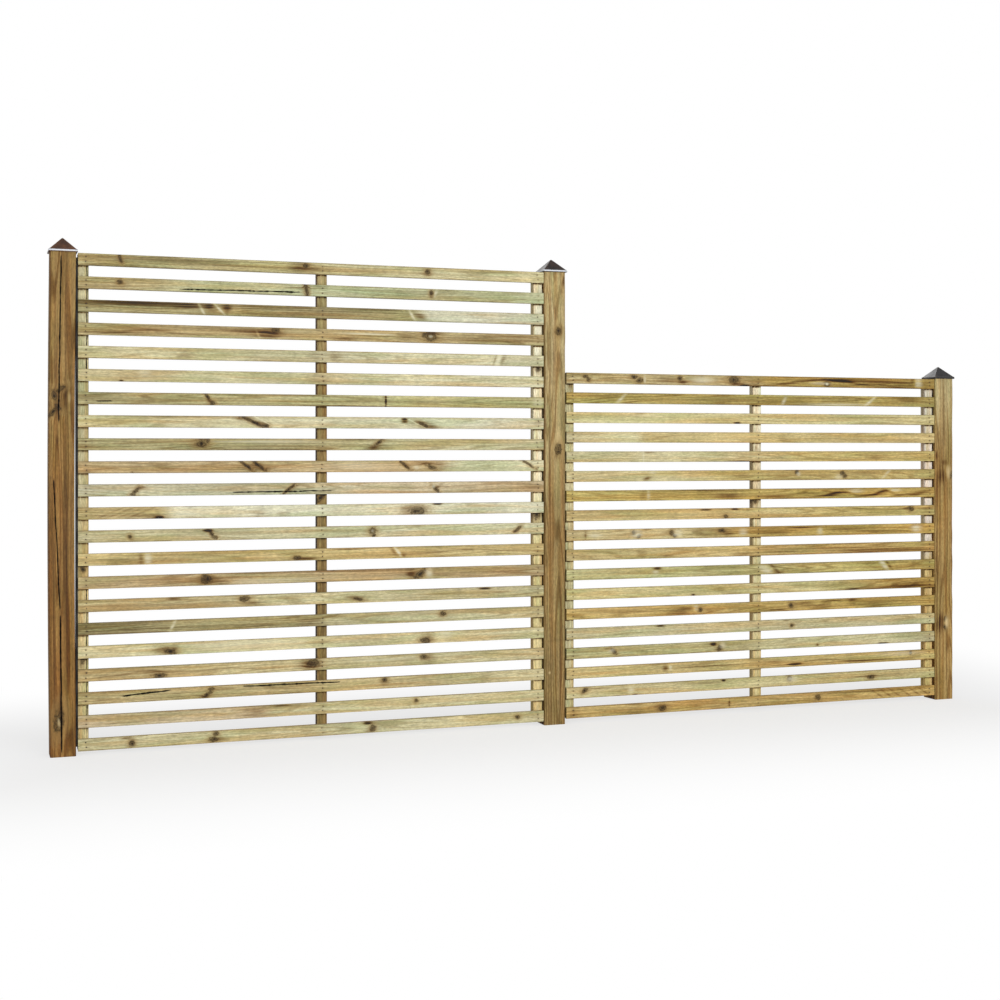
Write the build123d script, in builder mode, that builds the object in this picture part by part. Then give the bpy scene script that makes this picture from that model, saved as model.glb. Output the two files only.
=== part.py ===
"""Louvred timber fence run: a tall and a low slatted panel fixed between three capped posts.

Millimetres. +X runs along the fence to the low panel, -Y is the slatted face, +Z is up.
The origin is on the ground, midway between the two end posts, on the posts' centre plane.
"""

from build123d import *

import math
import os
from dataclasses import dataclass

# Posts: planed square timber, cut off level with the ground.
post_width = 90.0
post_arris = 4.0

# Slats: planed boards with eased edges, nailed to the front of the battens.
slat_height = 44.0
slat_thickness = 16.0
slat_arris = 1.5
slat_setback = 5.0  # slat faces stand this far behind the posts' front faces

# Battens: three uprights behind each panel's slats.
batten_width = 38.0
batten_depth = 34.0
batten_arris = 2.0
batten_end_inset = 3.0  # battens stop this far inside the panel's top and bottom edges

# Tall panel.
tall_width = 1800.0
tall_height = 1800.0
tall_slat_count = 22
tall_ground_gap = 15.0

# Low panel.
low_width = 1750.0
low_height = 1395.0
low_slat_count = 18
low_ground_gap = 20.0

# Each panel is packed out from the post on its left and stands just clear of the one on its right.
packer_thickness = 7.0
packer_end_inset = 12.0  # the packing strip stops this far inside the batten's ends
right_gap = 2.0

# Caps: one-piece hollow pyramids that drop over the post tops.
cap_overhang = 6.0  # beyond the post on each side
cap_skirt_height = 8.0
cap_pyramid_height = 46.0
cap_tip_width = 4.0
cap_socket_depth = 6.0
cap_socket_clearance = 0.3
cap_ledge_width = 5.0  # flat shelf inside the cap that sits on the post
cap_wall = 3.0  # thickness of the sloping walls
cap_cavity_tip_width = 2.0
cap_lift = 2.0  # skirt's lower edge above the top of the panel
cap_drip_chamfer = 1.0

# Countersunk screws that fix each end batten to its post.
screw_radius = 2.5
screw_head_radius = 4.8
screw_head_angle = 90.0
screw_length = 80.0
screw_point_length = 8.0
screw_point_radius = 0.4
screw_clearance = 0.1
screw_pilot_runout = 1.0  # pilot hole beyond the screw's point
screw_end_inset = 200.0  # outer screws from the panel's top and bottom edges
screws_per_batten = 2

# Places that follow from the sizes above.
run_length = 3 * post_width + 2 * (packer_thickness + right_gap) + tall_width + low_width
half_post = post_width / 2
left_post_x = half_post - run_length / 2
tall_left_x = left_post_x + half_post + packer_thickness
middle_post_x = tall_left_x + tall_width + right_gap + half_post
low_left_x = middle_post_x + half_post + packer_thickness
right_post_x = low_left_x + low_width + right_gap + half_post

slat_front_y = slat_setback - half_post
slat_middle_y = slat_front_y + slat_thickness / 2
batten_middle_y = slat_front_y + slat_thickness + batten_depth / 2

os.makedirs("parts", exist_ok=True)


def write(builder, name):
    """Labels a finished piece and writes it as parts/name.step."""
    builder.part.label = name
    export_step(builder.part, f"parts/{name}.step")


@dataclass
class Panel:
    """One slatted panel: its left edge, its size, its height off the ground and its slats."""

    left_x: float
    width: float
    height: float
    ground_gap: float
    slat_count: int

    @property
    def right_x(self):
        """The panel's right edge."""
        return self.left_x + self.width

    @property
    def post_height(self):
        """Height of a post that ends at this panel's top, inside its cap."""
        return self.ground_gap + self.height + cap_lift + cap_socket_depth

    def screw_heights(self):
        """Heights of one end batten's screws, evenly spread between the two outer ones."""
        lowest = self.ground_gap + screw_end_inset
        step = (self.height - 2 * screw_end_inset) / (screws_per_batten - 1)
        return [lowest + i * step for i in range(screws_per_batten)]

    def screw_planes(self, face_x, outward):
        """Planes on an upright face that looks along X, one where each screw passes through it."""
        return [
            Plane(origin=(face_x, batten_middle_y, z), x_dir=(0, 0, 1), z_dir=(outward, 0, 0))
            for z in self.screw_heights()
        ]


@dataclass
class Post:
    """One post: its centre, its height and the mouths of the pilot holes in its two sides."""

    centre_x: float
    height: float
    left_pilots: list
    right_pilots: list


tall = Panel(tall_left_x, tall_width, tall_height, tall_ground_gap, tall_slat_count)
low = Panel(low_left_x, low_width, low_height, low_ground_gap, low_slat_count)
panels = {"tall": tall, "low": low}

posts = {
    "left": Post(
        centre_x=left_post_x,
        height=tall.post_height,
        left_pilots=[],
        right_pilots=tall.screw_planes(left_post_x + half_post, 1),
    ),
    "middle": Post(
        centre_x=middle_post_x,
        height=tall.post_height,
        left_pilots=tall.screw_planes(middle_post_x - half_post, -1),
        right_pilots=low.screw_planes(middle_post_x + half_post, 1),
    ),
    "right": Post(
        centre_x=right_post_x,
        height=low.post_height,
        left_pilots=low.screw_planes(right_post_x - half_post, -1),
        right_pilots=[],
    ),
}

# Posts: a pilot hole is as deep as the screw that crosses the gap or packing strip beside it
screw_hole_radius = screw_radius + screw_clearance
pilot_reach = screw_length - batten_width + screw_pilot_runout

for side, post in posts.items():
    with BuildPart() as timber:
        with BuildSketch(Plane.XY) as post_section:
            with Locations((post.centre_x, 0)):
                Rectangle(post_width, post_width)
            fillet(post_section.vertices(), radius=post_arris)
        extrude(amount=post.height)
        if post.left_pilots:
            with Locations(*post.left_pilots):
                Hole(radius=screw_hole_radius, depth=pilot_reach - right_gap)
        if post.right_pilots:
            with Locations(*post.right_pilots):
                Hole(radius=screw_hole_radius, depth=pilot_reach - packer_thickness)
    write(timber, f"{side}_post")

# Caps: the cavity has upright sides above the ledge, then runs parallel to the pyramid
cap_width = post_width + 2 * cap_overhang
socket_width = post_width + 2 * cap_socket_clearance
cavity_width = post_width - 2 * cap_ledge_width
pyramid_slope = 2 * cap_pyramid_height / (cap_width - cap_tip_width)
pyramid_taper = math.degrees(math.atan(1 / pyramid_slope))
wall_drop = cap_wall * math.hypot(1, pyramid_slope)
cavity_shoulder = (
    cap_skirt_height - cap_socket_depth + pyramid_slope * (cap_width - cavity_width) / 2 - wall_drop
)
cavity_rise = pyramid_slope * (cavity_width - cap_cavity_tip_width) / 2

for side, post in posts.items():
    skirt_bottom = post.height - cap_socket_depth
    skirt_top = skirt_bottom + cap_skirt_height
    with BuildPart() as cap:
        with BuildSketch(Plane.XY.offset(skirt_bottom)):
            with Locations((post.centre_x, 0)):
                Rectangle(cap_width, cap_width)
        extrude(amount=cap_skirt_height)
        with BuildSketch(Plane.XY.offset(skirt_top)):
            with Locations((post.centre_x, 0)):
                Rectangle(cap_width, cap_width)
        extrude(amount=cap_pyramid_height, taper=pyramid_taper)
        drip_edges = cap.edges().group_by(Axis.Z)[0]
        chamfer(drip_edges, length=cap_drip_chamfer)
        with BuildSketch(Plane.XY.offset(skirt_bottom)):
            with Locations((post.centre_x, 0)):
                Rectangle(socket_width, socket_width)
        extrude(amount=cap_socket_depth, mode=Mode.SUBTRACT)
        with BuildSketch(Plane.XY.offset(post.height)):
            with Locations((post.centre_x, 0)):
                Rectangle(cavity_width, cavity_width)
        extrude(amount=cavity_shoulder, mode=Mode.SUBTRACT)
        with BuildSketch(Plane.XY.offset(post.height + cavity_shoulder)):
            with Locations((post.centre_x, 0)):
                Rectangle(cavity_width, cavity_width)
        extrude(amount=cavity_rise, taper=pyramid_taper, mode=Mode.SUBTRACT)
    write(cap, f"{side}_cap")

# Slats, numbered from the top of each panel
for panel_name, panel in panels.items():
    pitch = (panel.height - slat_height) / (panel.slat_count - 1)
    for i in range(panel.slat_count):
        centre_z = panel.ground_gap + panel.height - slat_height / 2 - i * pitch
        with BuildPart() as slat:
            with BuildSketch(Plane.YZ.offset(panel.left_x)) as slat_section:
                with Locations((slat_middle_y, centre_z)):
                    Rectangle(slat_thickness, slat_height)
                chamfer(slat_section.vertices(), length=slat_arris)
            extrude(amount=panel.width)
        write(slat, f"{panel_name}_slat_{i + 1:02d}")

# Battens: the end ones are bored and countersunk from their inner faces
head_planes = []

for panel_name, panel in panels.items():
    left_heads = panel.screw_planes(panel.left_x + batten_width, 1)
    right_heads = panel.screw_planes(panel.right_x - batten_width, -1)
    head_planes += left_heads + right_heads
    battens = {
        "left": (panel.left_x + batten_width / 2, left_heads),
        "middle": (panel.left_x + panel.width / 2, []),
        "right": (panel.right_x - batten_width / 2, right_heads),
    }
    for side, (batten_x, heads) in battens.items():
        with BuildPart() as batten:
            with BuildSketch(Plane.XY.offset(panel.ground_gap + batten_end_inset)) as batten_section:
                with Locations((batten_x, batten_middle_y)):
                    Rectangle(batten_width, batten_depth)
                chamfer(batten_section.vertices(), length=batten_arris)
            extrude(amount=panel.height - 2 * batten_end_inset)
            if heads:
                with Locations(*heads):
                    CounterSinkHole(
                        radius=screw_hole_radius,
                        counter_sink_radius=screw_head_radius + screw_clearance,
                        depth=batten_width,
                        counter_sink_angle=screw_head_angle,
                    )
        write(batten, f"{panel_name}_{side}_batten")

# Packing strips: one between each panel's left batten and the post, with the screws through it
for panel_name, panel in panels.items():
    strip_end_inset = batten_end_inset + packer_end_inset
    with BuildPart() as packer:
        with BuildSketch(Plane.XY.offset(panel.ground_gap + strip_end_inset)):
            with Locations((panel.left_x - packer_thickness / 2, batten_middle_y)):
                Rectangle(packer_thickness, batten_depth)
        extrude(amount=panel.height - 2 * strip_end_inset)
        with Locations(*panel.screw_planes(panel.left_x, 1)):
            Hole(radius=screw_hole_radius, depth=packer_thickness)
    write(packer, f"{panel_name}_packer")

# Screws: one turned profile, placed at every head plane
screw_head_depth = (screw_head_radius - screw_radius) / math.tan(math.radians(screw_head_angle / 2))

with BuildPart() as screw:
    with BuildSketch(Plane.XZ):
        with BuildLine():
            Polyline(
                (0, 0),
                (screw_head_radius, 0),
                (screw_radius, -screw_head_depth),
                (screw_radius, screw_point_length - screw_length),
                (screw_point_radius, -screw_length),
                (0, -screw_length),
                close=True,
            )
        make_face()
    revolve(axis=Axis.Z)

with BuildPart() as batten_screws:
    with Locations(*head_planes):
        add(screw.part)
write(batten_screws, "batten_screws")
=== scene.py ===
"""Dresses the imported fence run: grained boards, capped posts, nail heads, studio and camera.

Metres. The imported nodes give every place. +X runs along the fence, -Y is the slatted face, +Z is up.
"""

import logging
import math
from dataclasses import dataclass
from dataclasses import field
from enum import Enum

import bpy
import numpy as np
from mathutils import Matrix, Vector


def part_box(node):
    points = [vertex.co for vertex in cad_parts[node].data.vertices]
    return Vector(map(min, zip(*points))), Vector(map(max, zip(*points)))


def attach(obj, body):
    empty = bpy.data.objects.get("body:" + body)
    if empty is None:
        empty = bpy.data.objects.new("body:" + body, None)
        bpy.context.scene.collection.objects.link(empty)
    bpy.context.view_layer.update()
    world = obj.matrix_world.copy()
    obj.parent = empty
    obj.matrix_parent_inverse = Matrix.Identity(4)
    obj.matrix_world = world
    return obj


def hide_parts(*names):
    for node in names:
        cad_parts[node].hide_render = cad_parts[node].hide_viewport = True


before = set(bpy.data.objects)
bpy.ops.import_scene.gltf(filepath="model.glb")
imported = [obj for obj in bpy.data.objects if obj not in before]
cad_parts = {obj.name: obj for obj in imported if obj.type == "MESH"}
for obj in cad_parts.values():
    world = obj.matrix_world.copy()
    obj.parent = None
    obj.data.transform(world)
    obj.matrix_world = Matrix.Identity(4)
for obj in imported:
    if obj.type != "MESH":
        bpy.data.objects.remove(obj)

log = logging.getLogger("fence")

MM = 0.001
BODY = "root"

Colour = tuple[float, float, float, float]  # linear red, green and blue, with alpha


class Tint(Enum):
    """Named timber tones, as linear red, green and blue."""

    SILVER = (0.71, 0.70, 0.51)
    CHALK = (0.775, 0.76, 0.55)
    MIST = (0.67, 0.655, 0.455)
    PALE = (0.74, 0.71, 0.47)
    CREAM = (0.98, 0.94, 0.72)
    BLUSH = (0.96, 0.88, 0.78)
    WHEAT = (0.88, 0.75, 0.40)
    BUFF = (0.79, 0.71, 0.40)
    ROSE = (0.69, 0.58, 0.37)
    GOLD = (0.90, 0.69, 0.31)
    STRAW = (0.68, 0.63, 0.38)
    MOSS = (0.60, 0.62, 0.38)
    GREEN = (0.61, 0.585, 0.305)
    OLIVE = (0.52, 0.47, 0.245)
    TAN = (0.61, 0.51, 0.265)
    PINK = (0.60, 0.475, 0.26)
    SAND = (0.70, 0.58, 0.28)
    MAIZE = (0.70, 0.565, 0.23)
    FLAX = (0.76, 0.68, 0.35)
    KHAKI = (0.585, 0.485, 0.17)
    HONEY = (0.65, 0.49, 0.20)
    GINGER = (0.71, 0.505, 0.185)
    AMBER = (0.61, 0.445, 0.14)
    ORANGE = (0.58, 0.43, 0.135)
    FAWN = (0.58, 0.46, 0.23)
    UMBER = (0.39, 0.28, 0.112)
    RUSSET = (0.50, 0.335, 0.120)
    CLAY = (0.40, 0.255, 0.090)
    EARTH = (0.38, 0.205, 0.056)


class Slot(Enum):
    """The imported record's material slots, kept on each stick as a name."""

    SLAT = "slat_timber"
    BATTEN = "batten_timber"
    POST = "post_timber"
    CAP = "cap_bronze"
    STEEL = "zinc_steel"


class Side(Enum):
    """Which of three uprights, seen from the slatted face."""

    LEFT = "left"
    MIDDLE = "middle"
    RIGHT = "right"


class MarkKind(Enum):
    """What a mark is.

    A knot turns the grain, a stain darkens or bleaches it, and a wave is one dark arching line.
    """

    KNOT = "knot"
    STAIN = "stain"
    WAVE = "wave"


@dataclass(frozen=True)
class Mark:
    """A slanted oval on a board, in millimetres from the board's left (or lower) end and first edge."""

    kind: MarkKind
    along: float
    across: float
    half_length: float
    half_height: float
    slant: float
    strength: float


@dataclass(frozen=True)
class Split:
    """A drying split along a board, in millimetres, from one place to another."""

    start: float
    end: float
    start_across: float
    end_across: float
    width: float
    ragged: float


def knot(along: float, across: float, half_length: float, half_height: float, slant: float = 0.0) -> Mark:
    """A knot at a place on the board, leaning by slant along for each step across."""
    return Mark(MarkKind.KNOT, along, across, half_length, half_height, slant, 1.0)


def stain(
    along: float, across: float, half_length: float, half_height: float, strength: float, slant: float = 0.0
) -> Mark:
    """A dark patch of the given strength, from 0 to 1."""
    return Mark(MarkKind.STAIN, along, across, half_length, half_height, slant, strength)


def pale(
    along: float, across: float, half_length: float, half_height: float, strength: float, slant: float = 0.0
) -> Mark:
    """A bleached patch of the given strength, from 0 to 1."""
    return Mark(MarkKind.STAIN, along, across, half_length, half_height, slant, -strength)


def wave(
    along: float, across: float, half_length: float, lift: float, thickness: float, strength: float
) -> Mark:
    """A dark grain line that lifts towards the first edge in a bell round its middle."""
    return Mark(MarkKind.WAVE, along, across, half_length, thickness, lift, strength)


def split(
    start: float, end: float, start_across: float, end_across: float, width: float, ragged: float = 0.2
) -> Split:
    """A split from start to end, with a share of its width that wanders."""
    return Split(start, end, start_across, end_across, width, ragged)


@dataclass(frozen=True)
class Board:
    """How one piece of timber looks: its tone at each end, and its marks and splits."""

    first: Tint
    last: Tint
    marks: tuple[Mark, ...] = ()
    splits: tuple[Split, ...] = ()
    turn: float = 0.5  # share of the length at which the tone changes
    soften: float = 0.9  # share of the length that the change takes


TALL_BOARDS: tuple[Board, ...] = (
    Board(Tint.OLIVE, Tint.STRAW, (
        knot(148, 13, 5, 12, 0.3), stain(150, 26, 20, 14, 0.3), stain(330, 10, 200, 9, 0.4),
        stain(812, 16, 42, 20, 0.75), knot(835, 14, 9, 7), stain(870, 22, 30, 18, 0.3),
        knot(1315, 18, 8, 8), stain(1312, 16, 32, 20, 0.45), stain(1600, 10, 200, 6, 0.25),
        stain(600, 26, 300, 5, 0.2),
    )),
    Board(Tint.TAN, Tint.MOSS, (
        knot(147, 16, 8, 7), stain(150, 24, 22, 16, 0.35), stain(800, 14, 35, 4, 0.6, -2.0),
        knot(836, 22, 6, 20, 0.2), stain(836, 20, 18, 22, 0.5), stain(880, 10, 45, 10, 0.3),
        knot(1330, 16, 6, 8), stain(1332, 26, 10, 16, 0.5), pale(1346, 20, 6, 18, 0.4, -0.4),
    ), (split(352, 832, 36, 30, 3.7, 0.5),), turn=0.16, soften=0.15),
    Board(Tint.OLIVE, Tint.SILVER, (
        stain(200, 8, 270, 13, 0.9), stain(400, 14, 60, 12, 0.5), pale(440, 20, 6, 26, 0.65, 0.55),
        stain(470, 12, 18, 14, 0.7), pale(505, 18, 7, 24, 0.7, 1.0), stain(535, 18, 16, 16, 0.85),
        stain(640, 10, 120, 8, 0.55), stain(860, 12, 150, 14, 0.45), stain(1120, 8, 130, 10, 0.55),
        pale(1250, 18, 7, 22, 0.65, 0.6), stain(1288, 26, 22, 12, 0.85, 0.8), stain(760, 34, 200, 4, 0.3),
    ), turn=0.715, soften=0.05),
    Board(Tint.TAN, Tint.TAN, (
        stain(120, 32, 130, 8, 0.5), wave(250, 34, 80, 14, 4.0, 0.5), stain(470, 6, 90, 5, 0.5),
        stain(690, 26, 55, 20, 0.9), knot(718, 10, 13, 9), pale(652, 28, 5, 14, 0.6, 0.4),
        stain(600, 16, 70, 10, 0.5), stain(985, 38, 55, 7, 0.85), pale(1090, 16, 110, 4, 0.55),
        stain(1100, 22, 110, 3, 0.45), stain(1230, 20, 40, 20, 0.45), knot(1325, 18, 22, 15),
        pale(1328, 18, 9, 7, 0.55), stain(1330, 7, 45, 6, 0.7), stain(1560, 24, 240, 12, 0.35),
        stain(1660, 10, 120, 4, 0.4),
    )),
    Board(Tint.STRAW, Tint.PALE, (
        stain(390, 24, 40, 22, 0.25), stain(870, 20, 30, 20, 0.2), stain(945, 20, 28, 24, 0.4),
        stain(1593, 22, 4, 24, 0.5, -0.4), pale(1608, 22, 8, 24, 0.55, -0.4),
        stain(1627, 20, 9, 22, 0.5, -0.4),
    )),
    Board(Tint.STRAW, Tint.PALE, (
        stain(152, 41, 8, 3, 1.6), pale(235, 12, 25, 12, 0.25), stain(885, 24, 48, 26, 0.32),
        stain(1250, 30, 150, 5, 0.15),
    )),
    Board(Tint.OLIVE, Tint.GREEN, (
        knot(462, 12, 6, 10, 0.7), stain(470, 26, 8, 16, 0.7, 0.5), knot(482, 36, 9, 6),
        stain(740, 4, 150, 2.5, 0.65), stain(1000, 42, 140, 3, 0.65), stain(1147, 22, 4, 26, 1.6),
        stain(1143, 8, 12, 8, 0.5), stain(1300, 22, 300, 5, 0.2), pale(1775, 20, 22, 22, 0.3),
    ), (split(68, 120, 33, 32, 3.6),)),
    Board(Tint.STRAW, Tint.CHALK, (
        stain(590, 10, 30, 7, 0.85), knot(630, 20, 10, 20, 2.0), stain(650, 24, 26, 18, 0.6, 1.6),
        pale(668, 16, 4, 20, 0.55, 1.8), knot(680, 36, 10, 6), stain(1222, 12, 14, 9, 1.6),
        stain(1290, 24, 45, 20, 0.55, 1.2), pale(1262, 20, 4, 20, 0.6, 2.0), knot(1300, 28, 10, 8, 1.5),
        stain(1340, 36, 25, 8, 0.5), stain(1775, 14, 20, 12, 0.35), stain(300, 3, 300, 3, 0.4),
    )),
    Board(Tint.OLIVE, Tint.STRAW, (
        knot(442, 18, 17, 12), stain(430, 26, 45, 18, 0.55), knot(466, 7, 6, 6),
        pale(680, 12, 200, 9, 0.4), stain(700, 38, 200, 6, 0.4), stain(25, 22, 30, 24, 0.35),
        knot(1118, 14, 8, 10, -1.0), stain(1112, 26, 28, 16, 0.6, -1.2), stain(1095, 38, 28, 5, 0.85),
        stain(1000, 3, 120, 3, 0.5),
    ), turn=0.6, soften=0.2),
    Board(Tint.PINK, Tint.PALE, (
        knot(605, 16, 7, 18, 1.2), knot(655, 18, 8, 20, 1.2), stain(640, 24, 40, 20, 0.5),
        stain(690, 30, 25, 8, 0.45), knot(1222, 18, 7, 14, 1.0), stain(1235, 24, 16, 14, 0.6, 1.0),
        stain(1310, 10, 50, 8, 0.7), knot(1330, 26, 12, 10, 1.2), stain(1370, 18, 24, 16, 0.45),
        pale(1270, 26, 10, 8, 0.45), knot(1735, 16, 7, 14, 1.5), stain(190, 40, 4, 3, 0.9),
        pale(1050, 20, 140, 20, 0.3),
    ), turn=0.77, soften=0.06),
    Board(Tint.MIST, Tint.ROSE, (
        knot(200, 28, 7, 14, -0.9), stain(222, 14, 18, 5, 0.6, -2.0), knot(192, 38, 8, 5),
        knot(768, 24, 6, 18, -1.1), stain(792, 12, 14, 5, 0.8, -1.8), stain(780, 26, 22, 12, 0.35),
        knot(1350, 30, 7, 12, 0.8), stain(1362, 16, 9, 14, 0.6, -1.2), pale(1340, 16, 8, 12, 0.35),
        stain(1750, 24, 50, 20, 0.3),
    ), (split(545, 955, 34, 31, 3.8, 0.5),), turn=0.55, soften=0.2),
    Board(Tint.TAN, Tint.CHALK, (
        stain(110, 22, 9, 22, 0.45, -2.5), stain(145, 22, 9, 22, 0.45, -2.5),
        stain(182, 22, 8, 22, 0.4, -2.5), stain(220, 22, 8, 22, 0.45, -2.5), stain(250, 36, 60, 10, 0.4),
        stain(288, 39, 16, 5, 1.6), stain(655, 26, 25, 14, 0.35), stain(745, 32, 25, 10, 0.35),
        knot(1275, 30, 26, 12), stain(1265, 14, 60, 10, 0.3), stain(1225, 28, 25, 16, 0.4),
        stain(1356, 3, 18, 4, 1.6),
    ), turn=0.175, soften=0.05),
    Board(Tint.STRAW, Tint.PALE, (
        knot(182, 24, 6, 6), stain(190, 34, 10, 8, 0.4), stain(465, 7, 18, 5, 1.6),
        knot(480, 22, 6, 14, 0.6), knot(492, 33, 7, 6), knot(1094, 20, 11, 10),
        pale(1094, 20, 5, 5, 0.45), knot(1100, 37, 6, 5), knot(1690, 22, 7, 10, -0.9),
        stain(1680, 34, 14, 6, 0.5),
    )),
    Board(Tint.SAND, Tint.SAND, (
        stain(150, 28, 80, 16, 0.3), stain(222, 22, 9, 24, 0.5), pale(246, 22, 14, 24, 0.5),
        stain(835, 36, 45, 6, 0.8), knot(800, 33, 11, 6), stain(1000, 5, 60, 3, 0.7),
        stain(1176, 14, 9, 16, 0.6, 0.6), pale(1198, 22, 8, 26, 0.65, 0.8), stain(1216, 34, 10, 10, 0.6),
        wave(1490, 30, 160, 14, 3.0, 0.55), stain(1600, 36, 60, 4, 0.5),
    )),
    Board(Tint.PINK, Tint.PINK, (
        knot(458, 20, 16, 14), stain(470, 26, 50, 18, 0.55), stain(520, 34, 30, 8, 0.5),
        stain(1248, 22, 22, 18, 0.8), knot(1285, 24, 14, 16, -0.8), pale(1322, 20, 14, 20, 0.45),
        stain(620, 6, 120, 5, 0.4), stain(960, 4, 250, 4, 0.45), pale(700, 34, 180, 8, 0.35),
        stain(1560, 20, 200, 5, 0.2),
    )),
    Board(Tint.TAN, Tint.STRAW, (
        stain(340, 6, 26, 5, 0.8), knot(602, 14, 14, 9), stain(630, 28, 30, 8, 0.6, 2.0),
        stain(1020, 24, 45, 9, 0.7, 2.2), knot(1040, 30, 12, 6, 1.5), stain(1550, 5, 25, 3.5, 1.6),
        stain(230, 24, 200, 5, 0.25),
    ), turn=0.3, soften=0.5),
    Board(Tint.OLIVE, Tint.STRAW, (
        stain(150, 22, 190, 40, 0.42), pale(336, 22, 7, 26, 0.65, -0.5), stain(600, 36, 260, 8, 0.4),
        stain(850, 22, 50, 24, 0.4), knot(1378, 14, 9, 7), stain(1370, 22, 20, 10, 0.3),
        stain(945, 8, 40, 4, 0.5),
    ), soften=0.1),
    Board(Tint.STRAW, Tint.STRAW, (
        knot(328, 32, 16, 9, 0.6), stain(305, 28, 40, 16, 0.55), stain(345, 20, 14, 18, 0.35),
        pale(620, 20, 240, 24, 0.25), stain(1110, 22, 180, 24, 0.22), knot(1305, 32, 16, 9),
        stain(1320, 22, 25, 18, 0.5), pale(1390, 14, 30, 16, 0.4), stain(1580, 24, 150, 20, 0.2),
        stain(880, 26, 40, 16, 0.3),
    )),
    Board(Tint.TAN, Tint.STRAW, (
        wave(240, 26, 60, 12, 3.0, 0.45), wave(530, 30, 90, 12, 3.0, 0.4), knot(288, 35, 18, 7),
        stain(270, 22, 35, 10, 0.4), stain(835, 24, 25, 20, 0.7), knot(862, 14, 18, 12),
        stain(870, 28, 30, 16, 0.55), knot(1300, 12, 12, 7), stain(1325, 24, 28, 18, 0.45),
        pale(1130, 16, 150, 10, 0.25), stain(120, 30, 80, 4, 0.3),
    )),
    Board(Tint.TAN, Tint.STRAW, (
        knot(478, 10, 9, 5), knot(465, 28, 9, 10, -1.0), stain(455, 37, 22, 5, 0.75),
        stain(700, 14, 200, 8, 0.3), stain(760, 40, 160, 3, 0.45), knot(1142, 10, 9, 7),
        stain(1140, 22, 18, 14, 0.3), stain(400, 30, 200, 5, 0.25),
    ), (split(152, 330, 20, 6, 5.2), split(585, 975, 6, 9, 4.6)), turn=0.75, soften=0.4),
    Board(Tint.ROSE, Tint.STRAW, (
        stain(300, 8, 150, 4, 0.25), stain(630, 26, 60, 22, 0.3), stain(740, 4, 40, 3, 0.9),
        stain(800, 7, 60, 2.5, 0.55), knot(1268, 14, 6, 6), stain(150, 34, 100, 4, 0.2),
    ), turn=0.386, soften=0.03),
    Board(Tint.STRAW, Tint.STRAW, (
        stain(168, 6, 20, 5, 0.8), stain(190, 18, 14, 18, 0.35), knot(190, 28, 8, 8), knot(495, 10, 8, 7),
        knot(486, 31, 13, 8), stain(510, 30, 30, 10, 0.45), stain(1075, 6, 18, 5, 1.6),
        knot(1095, 26, 9, 10), stain(1082, 37, 22, 5, 0.7), knot(1689, 19, 8, 6),
    )),
)

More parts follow.
